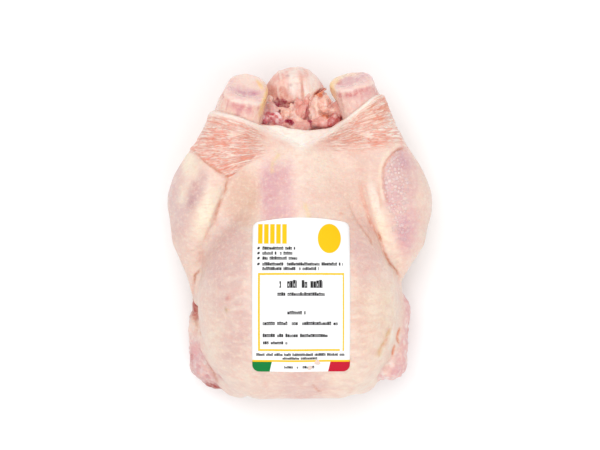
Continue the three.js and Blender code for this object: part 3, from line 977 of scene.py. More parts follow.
# Streaks of colour along a route: colour, strength, half width, the height where the streak begins to show,
# the height where it shows in full, and the route.
STREAKS = (
    (BUTTER, 0.6, 1.4, 30, 44, BESIDE_OVAL),
    (BRIGHT, 0.5, 1.6, 24, 34, route((68.5, -70), (67.5, -80), (66, -88))),
    (RAW_RED, 0.95, 4, 42, 38, route((-76, -44), (-79, -52), (-79, -64))),
    # painted shade in the crease where the breast overhangs the left wing
    (CREASE_BROWN_AND_SHADE, 0.5, 1.3, 46, 40, route((-79, -66), (-75.3, -81), (-72.3, -92), (-68, -102), (-62.3, -114.4))),
)
WAVY_STREAK = (RAW_ORANGE, 0.6, 1.2, 50, 44, route((-74, -77), (-72, -84), (-70.5, -90)))
TUCK_STREAK = (RAW_RED, 1, 2.8, 36, 30, route((-70, -118), (-62, -119.8), (-56.5, -123)))


def blend(base, colour, share):
    return base + (colour - base) * np.clip(share, 0, 1)[:, None]


def patched(tint, p, skin, patchy, rows):
    for colour, strength, centre, radii, turn, even, uneven, upper_only in rows:
        on = skin["top"] if upper_only else 1
        tint = blend(tint, colour, strength * patch(p, centre, radii, turn) * on * (even + uneven * patchy))
    return tint


def body_tints(tint, p, skin, patchy):
    """The breast, belly, thighs and neck, with the bruises and the strips of fat."""
    x, y, z = p
    tint = patched(tint, p, skin, patchy, BELLY_PATCHES)
    blush = ramp(-32, -25, x + 1.5 * patchy) * ramp(0, -9, x + 2 * patchy) * ramp(60, 40, y + 3 * patchy)
    tint = blend(tint, LILAC, blush * ramp(-20, 0, y) * skin["top"] * (0.85 + 0.25 * patchy))
    tint = patched(tint, p, skin, patchy, BREAST_PATCHES)
    bruise = patch(p, (-76, 29), (5.5, 14), -22, 0.55) * (0.8 + 0.5 * patchy + 0.5 * mottle(p, 5, 131))
    tint = blend(tint, BRUISE_LILAC, 0.95 * bruise)
    tint = patched(tint, p, skin, patchy, SIDE_PATCHES)
    oval = skin["oval"] * (0.76 + 0.5 * patchy + 0.25 * ramp(20, 6, y))
    tint = blend(tint, LILAC, oval * (1 - 0.4 * ramp(76, 86, x)))
    tint = blend(tint, BUTTER, skin["fat"] * (1 + 0.3 * patchy))
    tint = blend(tint, BRIGHT, 0.45 * patch(p, (54.8, 22), (3.2, 14), 14))
    return blend(tint, BUTTER, 0.85 * hump(THIGH_LINE(p)[0], 3.6) * ramp(-0.6, 0.2, patchy) * ramp(30, 44, z))


def ridge_tints(tint, p, top):
    ridges = breast_ridges(p)
    ridged = 0.4 + 0.6 * patch(p, (34, -84), (38, 46)) + 0.5 * patch(p, (-50, -74), (20, 46))
    tint = blend(tint, CREAM, 0.5 * ramp(0, 0.6, ridges) * top * ridged)
    return blend(tint, ROSE, 0.45 * ramp(0, 0.6, -ridges) * top * ridged)


def wing_tints(tint, p, skin, patchy, fine):
    y, left, right = p[1], skin["wing_left"], skin["wing_right"]
    tint = blend(tint, WING_PINK, left * (0.05 + 0.7 * patchy + 0.75 * ramp(-70, -98, y)))
    bloody = left * ramp(0.15, 0.5, mottle(p, 7, 153, 2)) * 0.6
    tint = blend(tint, GRISTLE_RED, bloody * ramp(-84, -98, y))
    tint = blend(tint, BRIGHT, left * ramp(0.05, 0.5, fine) * 0.4)
    tint = blend(tint, WING_PINK, right * (1.0 + 0.5 * patchy))
    tint = blend(tint, BRIGHT, right * ramp(0.05, 0.45, fine) * 0.6)
    low_wing = right * ramp(-86, -98, y)
    tint = blend(tint, GRISTLE_MARK, low_wing * ramp(0.1, 0.5, mottle(p, 8, 147, 2)) * 0.6)
    return blend(tint, BRIGHT, low_wing * ramp(0.1, 0.5, mottle(p, 2.6, 155, 2)) * 0.5)


def sleeve_tints(tint, p, skin, patchy):
    """The wrinkled skin of both ankles, with painted light on the shaded outer side of the right one."""
    sleeve = skin["sleeve"]
    furrow = wrinkles(p)
    fleshy = 0.75 - 0.45 * ramp(10, 50, p[0])
    tint = blend(tint, SALMON, fleshy * sleeve * (1 + 0.4 * patchy))
    tint = blend(tint, SALMON_DEEP, 0.3 * ramp(0.1, -0.6, furrow) * sleeve)
    tint = blend(tint, PALE, 0.5 * ramp(0.2, 0.8, furrow) * sleeve)
    run, across = fan(p)
    dots = ramp(0.3, 0.6, noise(run / 4.5, across / 2.2, 0 * run, 145)) * patch(p, (61, 87), (11, 11), 0, 0.5)
    tint = blend(tint, RAW_ORANGE, 0.7 * dots * sleeve)
    # painted light: brightens the outer side of the right ankle's skin, which lies in shade
    return blend(tint, BRIGHT, 0.5 * patch(p, (70, 75), (9, 11), -20) * sleeve)


def edge_tints(tint, p, skin):
    """The edge of the legs' skin and the belly flap beyond it."""
    x, y, z = p
    by_edge = ramp(8, 2, skin["from_edge"]) * ramp(0, 20, x) * skin["sleeve"] * ramp(50, 56, z)
    tint = blend(tint, CREAM, 0.7 * by_edge)
    tint = blend(tint, BRIGHT, 0.7 * skin["rim"])
    tint = blend(tint, BRIGHT, skin["flap"])
    return blend(tint, ROSE, skin["flap"] * patch(p, (14, 70), (10, 6)) * 0.25)


def bare_tints(tint, p, skin, patchy):
    """Bare flesh round the opening, the cavity and its pits in painted shade, and a rusty line of painted
    shade under the neck.
    """
    x, y, z = p
    tint = blend(tint, FLESH["pink"], skin["vent"] * (1 - skin["tail"]))
    tint = blend(tint, FLESH["striped"], skin["vent"] * (1 - skin["tail"]) * ramp(-0.4, 0.2, patchy) * 0.8)
    # painted shade: darker deeper in the cavity, towards the neck, and filling the pits
    tint = blend(tint, FLESH_MAROON_AND_SHADE, 0.7 * skin["cavity"] * ramp(88, 76, y))
    tint = blend(tint, FLESH_MAROON_AND_SHADE, in_pits(p))
    # painted shade: a rusty line along the underside of the neck's edge
    return blend(tint, RUST_AND_SHADE, 0.6 * patch(p, (10, -126), (26, 3)) * ramp(30, 20, z))


def left_of_light(p, skin):
    """The share of each tint that is left, for red, green and blue, with painted shade on the left half."""
    x, y, z = p
    dim = np.clip(1 - skin["flap"] - 0.5 * skin["fat"], 0, 1)
    dim = dim * (1 - 0.7 * skin["sleeve"] * ramp(20, 50, x))
    share = 1 - (1 - LESS) * np.clip(dim, 0, 1)[:, None]
    # painted shade: the bird's left half is darkened
    left = ramp(-16, -44, x) * ramp(44, 20, y)
    return share * (1 - (1 - PAINTED_SHADE_LEFT) * left[:, None])


def tints(p, skin):
    patchy, fine = mottle(p, 13, 85), mottle(p, 4, 89)
    tint = np.repeat(CREAM[None], len(p[0]), 0)
    tint = blend(tint, ROSE, 0.5 + 0.45 * mottle(p, 40, 81) + 0.35 * patchy)
    tint = body_tints(tint, p, skin, patchy)
    tint = ridge_tints(tint, p, skin["top"])
    tint = wing_tints(tint, p, skin, patchy, fine)
    tint = sleeve_tints(tint, p, skin, patchy)
    tint = line_tints(tint, p)
    tint = spot_tints(tint, p, fine)
    tint = edge_tints(tint, p, skin)
    tint = tail_tints(tint, p, skin, patchy)
    tint = bare_tints(tint, p, skin, patchy)
    return np.clip(tint * left_of_light(p, skin) * (1 + 0.025 * fine)[:, None], 0, 1)


def in_pits(p):
    thin = ragged([v.astype(np.float32) for v in p])
    deep = nearest([egg(centre, radii, yaw=yaw) for centre, radii, yaw in PITS], thin)
    return ramp(1.3, 0.4, deep)


def streaked(tint, p, z, streak):
    colour, strength, width, start, end, path = streak
    return blend(tint, colour, strength * hump(path(p)[0], width) * ramp(start, end, z))


def line_tints(tint, p):
    """Folds and creases, reddened and here and there brown, partly as painted shade, and the streaks of
    colour.
    """
    x, y, z = p
    above = ramp(30, 44, z)
    shifted = (x + 0.5 * noise(x / 3, y / 3, 0 * x, 141), y + 0.5 * noise(x / 3, y / 3, 0 * x, 142))
    for path, depth, width, brown, start, end in LINES:
        far, share = path(shifted)
        ends = ramp(0, 0.1, share) * ramp(1, 0.92, share)
        uneven = 0.7 + 0.6 * noise(x / 6, y / 6, 0 * x, 34)
        # partly painted shade: the deeper a crease, the redder it is drawn
        tint = blend(tint, SALMON_DEEP, 0.3 * depth * hump(far, 1.3 * width) * ends * uneven * above)
        core = ramp(start - 0.08, start + 0.08, share) * ramp(end + 0.08, end - 0.08, share)
        core = core * ramp(-1.0, 0.0, noise(x / 5, y / 5, 0 * x, 36))
        # partly painted shade: a brown core along part of each crease
        tint = blend(tint, CREASE_BROWN_AND_SHADE, brown * hump(far, 0.8) * core * above)
    for path in WING_SLITS:
        tint = blend(tint, RAW_ORANGE, 0.85 * hump(path(shifted)[0], 0.8))
    for streak in STREAKS:
        tint = streaked(tint, p, z, streak)
    tint = streaked(tint, shifted, z, WAVY_STREAK)
    return streaked(tint, p, z, TUCK_STREAK)


def spot_tints(tint, p, fine):
    x, y, z = p
    shifted = (x + 1.4 * noise(x / 5, y / 5, 0 * x, 143), y + 0.8 * fine)
    smear = hump(BREAST_CREASE(shifted)[0], 1.7)
    tint = blend(tint, OCHRE, 0.7 * smear * ramp(-0.3, 0.2, mottle(p, 5, 101)))
    tint = blend(tint, RUST_AND_SHADE, 0.7 * smear * ramp(0.1, 0.5, mottle(p, 4, 103)))
    for path in (route((-15.5, 55), (-20, 50), (-20.5, 42)), route((4, 18), (6, 12), (7, 8))):
        tint = blend(tint, YELLOW_FAT, 0.7 * hump(path(p)[0], 1.1) * ramp(60, 70, z))
    for centre, radii, spot in SPOTS:
        tint = blend(tint, spot, 0.7 * patch((x + 0.5 * fine, y), centre, radii, 20, 0.6) * ramp(40, 50, z))
    return tint


def tail_tints(tint, p, skin, patchy):
    tail, y = skin["tail"], p[1]
    fine = mottle(p, 3, 133, 2)
    tint = blend(tint, SALMON, tail * (0.9 + 0.4 * patchy))
    tint = blend(tint, FLESH["pink"], 0.6 * tail * ramp(-0.2, 0.5, patchy + 0.4 * fine))
    tint = blend(tint, PALE, 0.7 * tail * ramp(0.0, 0.5, mottle(p, 7, 135, 2)) * skin["top"])
    shaded = patch(p, (-15, 103), (11.5, 4.6), -14, 0.5) + 0.8 * patch(p, (-25, 105), (4, 9))
    tint = blend(tint, TAIL_SHADE, shaded * (0.9 + 0.5 * patchy) * tail)
    for colour, strength, centre, radii, turn, softness in TAIL_PATCHES:
        tint = blend(tint, colour, strength * patch(p, centre, radii, turn, softness) * tail)
    stripes = ramp(-0.1, 0.3, noise(across_tail(p) / 1.2, y / 16, p[2] / 9, 109)) * patch(p, (4, 103), (5, 9))
    tint = blend(tint, BRIGHT, 0.7 * stripes * tail)
    veins = tail_veins(p)
    tint = blend(tint, BRIGHT, 0.4 * ramp(0.15, 0.5, veins) * tail * skin["top"])
    tint = blend(tint, TAIL_SHADE, 0.45 * ramp(0.15, 0.5, -veins) * tail * ramp(118, 104, y))
    far, share = TAIL_SLIT(p)
    return blend(tint, FLESH["rust"], 0.95 * hump(far, 2.6 - 1.6 * share) * tail)


def flesh_tints(p):
    thin = ragged([v.astype(np.float32) for v in p])
    patchy, fine, speck = mottle(p, 5, 91), mottle(p, 2.4, 95, 2), mottle(thin, 3.0, 99, 2)
    distances = np.stack([form(thin) for form, _ in FLESH_FORMS])
    near = np.sort(distances, 0)
    weight = np.exp((near[0] - distances) / 0.45)
    weight = weight / weight.sum(0)
    kinds = [kind for _, kind in FLESH_FORMS]
    much = {name: weight[[kind == name for kind in kinds]].sum(0) for name in FLESH}
    tint = sum(FLESH[name] * much[name][:, None] for name in FLESH)
    tint = blend(tint, FLESH["rose"], ramp(0.1, 0.5, patchy) * 0.35)
    tint = blend(tint, FLESH["striped"], ramp(0.1, 0.5, -patchy) * 0.35)
    tint = blend(tint, FLESH_LIGHT, ramp(0.1, 0.45, fine) * 0.6)
    marbled = much["bloody"]
    tint = blend(tint, FLESH_RED, ramp(0.0, 0.2, -speck) * marbled * 0.9)
    tint = blend(tint, FLESH_WHITE, ramp(0.12, 0.3, speck) * marbled * 0.9)
    purple = marbled * ramp(0.0, 0.4, mottle(p, 4, 149, 2)) * 0.6
    tint = blend(tint, FLESH_PURPLE, purple * ramp(84, 80, p[1]))
    # painted shade on the flesh just past the edge of the skin
    edge = ramp(5, 1, beyond_edge(p[0], p[1])) * ramp(-4, 0, np.abs(p[0] + 3) - 12)
    tint = blend(tint, FLESH_SHADE, 0.5 * edge)
    grain = ramp(-0.15, 0.25, noise(p[0] / 1.2, p[1] / 16, p[2] / 9, 115))
    tint = blend(tint, TAIL_SHADE, grain * much["striped"] * 0.6)
    # painted shade along the seams between the pieces
    seam = ramp(0.9, 0.1, near[1] - near[0]) * ramp(-0.5, 0.3, noise(p[0] / 3, p[1] / 3, p[2] / 3, 117))
    tint = blend(tint, FLESH_SHADE, 0.4 * seam * (1 - much["rust"]))
    # painted shade: darker low in the opening and in the pits
    tint = blend(tint, FLESH_MAROON_AND_SHADE, 0.6 * ramp(43, 38, p[2]))
    return np.clip(blend(tint, FLESH_MAROON_AND_SHADE, in_pits(p)), 0, 1)


# Marks on the cut faces: where each lies across and up the face, its radii, turn and strength.
FACE_MARKS = {
    -1: (((0, 4), (11, 5), 0, 0.3), ((-1.8, 4.6), (4.2, 2.4), 30, 0.9), ((4.8, 2.2), (4.4, 2.6), -35, 0.9),
         ((1.6, 7.6), (2.8, 2.6), 0, 0.9)),
    1: (((1, 1), (12, 6), -20, 0.3), ((-2.3, 0.7), (6, 2.8), -30, 0.9), ((7.6, -0.5), (5, 3), -35, 0.8)),
}
# Marks on the sides of the joints: where each lies across and out from the face, its reach and strength.
SIDE_MARKS = {
    -1: (((-1, -6), (3.5, 4.5), 0.75), ((6, -6), (2.5, 3), 0.7), ((-7, -5), (3, 3.5), 0.5),
         ((-2, -13), (1.5, 4), 0.7)),
    1: (((4, -6), (6, 5), 0.45), ((10, -5), (4, 5), 0.5)),
}
# Red marks on the cut faces, given in the same way as the others there.
FACE_REDS = {-1: (), 1: (((-8.7, 1), (2.4, 2.6), 0, 0.8), ((9, -8.5), (4, 2), -20, 0.5))}


def hock_side_tints(tint, s, u, h, side, patchy, fine):
    """The side of the joint below its cut face: streaks along it and soft marks."""
    streaks = noise(u / 1.5, h / 7, 0 * u, 81) * (1.0 if s > 0 else 0.5)
    tint = blend(tint, PALE, 0.35 * ramp(0.0, 0.5, -streaks) * side)
    tint = blend(tint, GRISTLE_RED, 0.45 * ramp(0.1, 0.5, streaks) * side * ramp(-0.3, 0.3, patchy))
    for (across, out_of), radii, strength in SIDE_MARKS[s]:
        mark = hump((u - across + fine) / radii[0], 1) * hump((h - out_of + fine) / radii[1], 1)
        tint = blend(tint, SIDE_MARK, strength * mark * side)
    return tint


def hock_face_tints(tint, s, spot, on_face):
    for (across, up), radii, turn, strength in FACE_MARKS[s]:
        tint = blend(tint, GRISTLE_MARK, strength * patch(spot, (across, up), radii, turn, 0.6) * on_face)
    for (across, up), radii, turn, strength in FACE_REDS[s]:
        tint = blend(tint, GRISTLE_RED, strength * patch(spot, (across, up), radii, turn, 0.5) * on_face)
    return tint


def hock_rim_tints(tint, s, u, v, h, wavy, on_face, patchy):
    """The pale rim of the cut face, the red below it and the yellow of its inner side."""
    tint = blend(tint, PALE, 0.95 * (hump(wavy + 1.6, 1.3) * ramp(2, 8, v)))
    tint = blend(tint, PALE, 0.6 * ramp(-6, -12, v) * on_face)
    below = hump(wavy + 4.6, 2.0) * ramp(0, 6, v) * ramp(-0.7, -0.1, patchy)
    below = below * (ramp(14, 8, u) if s > 0 else 0.35) * (0.7 + 0.6 * noise(u / 1.5, 0 * u, 0 * u, 157))
    tint = blend(tint, GRISTLE_RED, below)
    inner = ramp(11.8, 14.6, -s * u) * ramp(-16, -5, h)
    return blend(tint, GRISTLE_RIM, 0.95 * inner)


def hock_back_tints(tint, s, p, u, h, side, patchy):
    """The rest of the joint beyond its face, and the yellow at its edge."""
    centre, radii = HOCK_BACK[s]
    joint = patch(p, (centre[0], centre[1] + 2), (12, 8)) * ramp(0.6, 2.2, h)
    tint = blend(tint, JOINT, (0.7 if s < 0 else 0.4) * joint)
    tint = blend(tint, GRISTLE_RIM, 0.6 * joint * ramp(7, 12, -s * u))
    if s < 0:
        streak = 0.85 * patch(p, (-29.8, 107.6), (1.2, 4.0), 35, 0.6)
        return blend(tint, GRISTLE_RIM, streak * ramp(-4, 0, h))
    tint = blend(tint, FLESH["rose"], 0.25 * side)
    far = np.sqrt(((p[0] - centre[0]) / radii[0]) ** 2 + ((p[1] - centre[1]) / radii[1]) ** 2)
    brim = ramp(0.76, 0.96, far + 0.08 * patchy) * ramp(104, 109, p[1]) * ramp(12, -6, u)
    return blend(tint, GRISTLE_BRIM, 0.65 * brim)


def hock_tints(s):
    def look(p):
        u, v, h = face_axes(p, s)
        angle = np.arctan2(v, u)
        patchy, fine = mottle(p, 5, 71), mottle(p, 2.4, 73, 2)
        wavy = h + 0.8 * noise(angle * 3, 0 * u, 0 * u, 79)
        on_face = ramp(-2.4, -1.0, wavy)
        side = 1 - on_face
        tint = np.repeat(GRISTLE_SIDE[None], len(u), 0)
        tint = blend(tint, GRISTLE, on_face)
        tint = blend(tint, CREAM, (0.25 + ramp(0.0, 0.5, patchy)) * 0.6)
        tint = hock_side_tints(tint, s, u, h, side, patchy, fine)
        tint = hock_face_tints(tint, s, (u + 0.8 * fine, v + 0.8 * patchy), on_face)
        tint = hock_rim_tints(tint, s, u, v, h, wavy, on_face, patchy)
        tint = hock_back_tints(tint, s, p, u, h, side, patchy)
        return np.clip(blend(tint, PALE, 0.3 * ramp(0.35, 0.6, fine)) * LESS_HOCK, 0, 1)

    return look


# ------------------------------------------------------------------ meshes
def placed(points):
    """Millimetres in the bird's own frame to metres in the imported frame."""
    return (np.asarray(points) + [0, FOOTPRINT, 0]) * MM


def inside_box(points, low, high):
    """Draws points in towards the middle of a box until they fit it, by as little as it takes."""
    low, high = np.array(low), np.array(high)
    middle = (low + high) / 2
    middle[2] = low[2]
    for axis in range(3):
        reach = points[:, axis] - middle[axis]
        over = max(reach.max() / (high[axis] - middle[axis]), 1)
        under = max(-reach.min() / (middle[axis] - low[axis]), 1) if axis < 2 else 1
        points[:, axis] = middle[axis] + reach / np.where(reach > 0, over, under)
    points[:, 2] = np.maximum(points[:, 2], low[2])
    return points


def mesh_object(name, points, faces):
    """A smooth mesh from equal-sided faces, given as an array."""
    mesh = bpy.data.meshes.new(name)
    sides = faces.shape[1]
    mesh.vertices.add(len(points))
    mesh.vertices.foreach_set("co", np.asarray(points, np.float32).ravel())
    mesh.loops.add(faces.size)
    mesh.loops.foreach_set("vertex_index", faces.astype(np.int32).ravel())
    mesh.polygons.add(len(faces))
    mesh.polygons.foreach_set("loop_start", np.arange(0, faces.size, sides, dtype=np.int32))
    mesh.polygons.foreach_set("use_smooth", np.ones(len(faces), bool))
    mesh.update(calc_edges=True)
    mesh.validate()
    thing = bpy.data.objects.new(name, mesh)
    bpy.context.scene.collection.objects.link(thing)
    return thing


def applied(thing):
    """The object with its modifiers made part of its mesh."""
    graph = bpy.context.evaluated_depsgraph_get()
    finished = bpy.data.meshes.new_from_object(thing.evaluated_get(graph))
    rough = thing.data
    thing.modifiers.clear()
    thing.data = finished
    finished.name = rough.name
    bpy.data.meshes.remove(rough)
    return thing


def thinned(thing, most):
    triangles = sum(len(face.vertices) - 2 for face in thing.data.polygons)
    if triangles > most:
        fewer = thing.modifiers.new("fewer faces", "DECIMATE")
        fewer.ratio = most / triangles
        fewer.use_collapse_triangulate = True
        applied(thing)
    return thing


def kept_inside(thing, low, high):
    """Moves the few points that thinning has pushed past the box back to its sides."""
    points = np.zeros(len(thing.data.vertices) * 3, np.float32)
    thing.data.vertices.foreach_get("co", points)
    margin = 1e-6
    points = np.clip(points.reshape(-1, 3), np.array(low) + (margin, margin, 0), np.array(high) - margin)
    thing.data.vertices.foreach_set("co", points.astype(np.float32).ravel())
    thing.data.update()


def own_points(thing):
    """The points of a mesh, in the bird's own millimetres, and the way out at each."""
    count = len(thing.data.vertices)
    points = np.zeros(count * 3, np.float32)
    thing.data.vertices.foreach_get("co", points)
    normals = np.zeros(count * 3, np.float32)
    thing.data.vertex_normals.foreach_get("vector", normals)
    points = points.reshape(-1, 3) / MM - [0, FOOTPRINT, 0]
    return [points[:, axis] for axis in range(3)], normals.reshape(-1, 3).T


def paint(thing, name, values):
    kind = "FLOAT_COLOR" if values.ndim == 2 else "FLOAT"
    layer = thing.data.attributes.new(name, kind, "POINT")
    if values.ndim == 2:
        values = np.concatenate([values, np.ones((len(values), 1))], 1)
        layer.data.foreach_set("color", values.astype(np.float32).ravel())
    else:
        layer.data.foreach_set("value", values.astype(np.float32))


def bird(form):
    points, squares, out = meshed(form, BIRD_BOX, CELL)
    p = [points[:, axis] for axis in range(3)]
    points = points + out * relief(p, out.T, regions(p, out.T))[:, None]
    points[points[:, 2] < SETTLED, 2] = 0
    points = inside_box(placed(points), *CAD_BOX)
    thing = thinned(mesh_object("chicken_skin", points, squares), MOST_TRIANGLES)
    kept_inside(thing, *CAD_BOX)
    p, out = own_points(thing)
    skin = regions(p, out)
    paint(thing, "tint", tints(p, skin))
    paint(thing, "pores", pored(skin))
    paint(thing, "goosebumps", goosebumps(p, skin))
    paint(thing, "raw", np.clip(skin["vent"] + skin["cavity"], 0, 1))
    paint(thing, "wrinkled", skin["sleeve"] * (1 - skin["rim"]))
    run, across = fan(p)
    paint(thing, "run", run)
    paint(thing, "across", across)
    return thing


def pored(skin):
    """How much the pores of the skin show."""
    bare = skin["vent"] + skin["tail"] * 0.6 + skin["flap"] * 0.7
    return np.clip(1 - bare - skin["rim"] - skin["sleeve"] * 0.6, 0, 1)


def goosebumps(p, skin):
    """How high the follicles stand: on the right thigh's bare oval and a little on the left wing."""
    raised = skin["oval"] * (patch(p, (70, 32), (9.5, 26), -3) + 0.8 * patch(p, (72.5, 4), (8.5, 14), 10))
    raised = np.maximum(raised, 0.42 * skin["wing_left"] * ramp(-84, -94, p[1]))
    return raised * ramp(0.4, 0.2, skin["sleeve"] + skin["fat"]) * ramp(6, 14, p[2])


def bare_piece(name, form, box, most, swell, look):
    """A piece of bare flesh or joint, finely meshed, with its relief and its own colours."""
    points, squares, out = meshed(form, box, FINE_CELL)
    p = [points[:, axis] for axis in range(3)]
    points = points + out * swell(p)[:, None]
    thing = thinned(mesh_object(name, placed(points), squares), most)
    p, _ = own_points(thing)
    paint(thing, "tint", look(p))
    paint(thing, "raw", np.ones(len(p[0])))
    return thing


# ------------------------------------------------------------------ node trees
def add(tree, kind, inputs=(), **settings):
    node = tree.nodes.new(kind)
    for name, value in settings.items():
        setattr(node, name, value)
    for key, value in dict(inputs).items():
        if isinstance(value, bpy.types.NodeSocket):
            tree.links.new(value, node.inputs[key])
        else:
            node.inputs[key].default_value = value
    return node


def material(name):
    made = bpy.data.materials.new(name)
    made.use_nodes = True
    tree = made.node_tree
    return made, tree, tree.nodes["Principled BSDF"]


def attribute(tree, name):
    return add(tree, "ShaderNodeAttribute", attribute_name=name)


def mixed(tree, a, b, share):
    node = add(tree, "ShaderNodeMix", data_type="RGBA", blend_type="MIX")
    for socket, value in zip((node.inputs[0], node.inputs[6], node.inputs[7]), (share, a, b)):
        if isinstance(value, bpy.types.NodeSocket):
            tree.links.new(value, socket)
        else:
            socket.default_value = value
    return node.outputs[2]


def calculated(tree, what, a, b=0.0, c=0.0, clamp=False):
    return add(tree, "ShaderNodeMath", {0: a, 1: b, 2: c}, operation=what, use_clamp=clamp).outputs[0]


def cloud(tree, vector, scale, detail=3, roughness=0.5):
    inputs = {"Vector": vector, "Scale": scale, "Detail": detail, "Roughness": roughness}
    return add(tree, "ShaderNodeTexNoise", inputs).outputs[0]


def ranged(tree, value, low, high, least, most):
    return add(tree, "ShaderNodeMapRange", {0: value, 1: low, 2: high, 3: least, 4: most}).outputs[0]


def soft_flesh(shader):
    """Light that goes some way into the flesh, under a dull surface."""
    shader.inputs["Subsurface Weight"].default_value = 0.25
    shader.inputs["Subsurface Radius"].default_value = (1.0, 0.4, 0.25)
    shader.inputs["Subsurface Scale"].default_value = 0.003
    shader.inputs["Specular IOR Level"].default_value = 0.35


def thin_lines(tree, vector, scale, width):
    """Lines where a stretched noise crosses its middle, which run on and part as wrinkles do."""
    off = calculated(tree, "SUBTRACT", cloud(tree, vector, scale, 2, 0.55), 0.5)
    return ranged(tree, calculated(tree, "ABSOLUTE", off), width, 0.0, 0.0, 1.0)


def wrinkle_lines(tree, run, across, wrinkled):
    """The furrows between the wrinkles, broad and soft, and the creases in them, thin and sharp."""
    stretched = calculated(tree, "MULTIPLY", run, WRINKLE_STRETCH)
    fold = add(tree, "ShaderNodeCombineXYZ", {0: stretched, 1: across}).outputs[0]
    long_lines, short_lines = thin_lines(tree, fold, 0.3, 0.05), thin_lines(tree, fold, 0.55, 0.05)
    creases = calculated(tree, "MAXIMUM", long_lines, calculated(tree, "MULTIPLY", short_lines, 0.7))
    return cloud(tree, fold, 0.42, 3, 0.6), calculated(tree, "MULTIPLY", creases, wrinkled)


def skin_colour(tree, tint, clouds, furrow, creases, wrinkled):
    blotch, spots, speck, streak = clouds
    for colour, value, low, high, most in (
        (SKIN_BLOTCH, blotch, 0.5, 0.68, 0.22), (SKIN_PALE_SPOT, spots, 0.5, 0.68, 0.26),
        (SKIN_STREAK, streak, 0.52, 0.68, 0.24), (PALE, speck, 0.55, 0.75, 0.2),
    ):
        tint = mixed(tree, tint, (*colour, 1), ranged(tree, value, low, high, 0.0, most))
    for colour, low, high, most in ((SALMON_DEEP, 0.46, 0.32, 0.3), (RIDGE, 0.49, 0.64, 0.5)):
        share = calculated(tree, "MULTIPLY", ranged(tree, furrow, low, high, 0.0, most), wrinkled)
        tint = mixed(tree, tint, (*colour, 1), share)
    return mixed(tree, tint, (*WRINKLE_LINE, 1), calculated(tree, "MULTIPLY", creases, 0.7))


def skin_bump(tree, place, clouds, furrow, creases, pores, raw, wrinkled):
    """Pores, fine grain, wrinkles and the lumps of raw flesh, as a bump."""
    _, spots, _, streak = clouds
    dots = add(tree, "ShaderNodeTexVoronoi", {"Vector": place, "Scale": 430, "Randomness": 0.8},
               feature="SMOOTH_F1").outputs["Distance"]
    bumps = calculated(tree, "MULTIPLY", calculated(tree, "SUBTRACT", 0.55, dots), 0.8)
    bumps = calculated(tree, "MULTIPLY_ADD", streak, 0.9, bumps)
    bumps = calculated(tree, "MULTIPLY", bumps, pores)
    height = calculated(tree, "MULTIPLY_ADD", cloud(tree, place, 1500), 0.12, bumps)
    height = calculated(tree, "MULTIPLY_ADD", calculated(tree, "MULTIPLY", furrow, wrinkled), 1.8, height)
    height = calculated(tree, "MULTIPLY_ADD", creases, -0.6, height)
    height = calculated(tree, "MULTIPLY_ADD", calculated(tree, "MULTIPLY", raw, spots), 1.1, height)
    return add(tree, "ShaderNodeBump", {"Height": height, "Distance": 0.0005, "Strength": 0.9}).outputs[0]


def skin_material():
    made, tree, shader = material("chicken_skin")
    place = add(tree, "ShaderNodeTexCoord").outputs["Object"]
    tint = attribute(tree, "tint").outputs["Color"]
    names = ("pores", "raw", "wrinkled", "run", "across")
    pores, raw, wrinkled, run, across = (attribute(tree, name).outputs["Fac"] for name in names)
    flat = add(tree, "ShaderNodeMapping", {"Vector": place, "Scale": (0.45, 1.6, 1.6)}).outputs[0]
    blotch, spots = cloud(tree, place, 150, 4, 0.6), cloud(tree, place, 340, 3, 0.6)
    clouds = blotch, spots, cloud(tree, place, 1000, 2), cloud(tree, flat, 330, 3, 0.6)
    furrow, creases = wrinkle_lines(tree, run, across, wrinkled)
    colour = skin_colour(tree, tint, clouds, furrow, creases, wrinkled)
    bump = skin_bump(tree, place, clouds, furrow, creases, pores, raw, wrinkled)
    wet = ranged(tree, raw, 0.0, 1.0, 0.0, 0.14)
    gloss = ranged(tree, blotch, 0.3, 0.7, 0.34, 0.5)
    tree.links.new(colour, shader.inputs["Base Color"])
    tree.links.new(calculated(tree, "SUBTRACT", gloss, wet), shader.inputs["Roughness"])
    tree.links.new(bump, shader.inputs["Normal"])
    soft_flesh(shader)
    shader.inputs["Coat Weight"].default_value = 0.12
    shader.inputs["Coat Roughness"].default_value = 0.2
    return made


# ------------------------------------------------------------------ raised follicles
FOLLICLE_PITCH, FOLLICLE_WIDTH, FOLLICLE_RISE = 2.2 * MM, 2.6 * MM, 0.55 * MM
FOLLICLE_SEED = 7
CROWDING = 1.7  # how many points to a pitch are tried, before those too near another are left out
LEAST_RAISED = 0.4  # where the skin is marked less than this, no follicle stands


def follicle_sockets(tree):
    """Gives the tree its inputs and its output, and tells the identifier of each size."""
    face = tree.interface
    face.new_socket("Geometry", in_out="INPUT", socket_type="NodeSocketGeometry")
    sizes = {}
    for name in ("Pitch", "Width", "Rise"):
        sizes[name] = face.new_socket(name, in_out="INPUT", socket_type="NodeSocketFloat").identifier
    sizes["Seed"] = face.new_socket("Seed", in_out="INPUT", socket_type="NodeSocketInt").identifier
    face.new_socket("Geometry", in_out="OUTPUT", socket_type="NodeSocketGeometry")
    return sizes


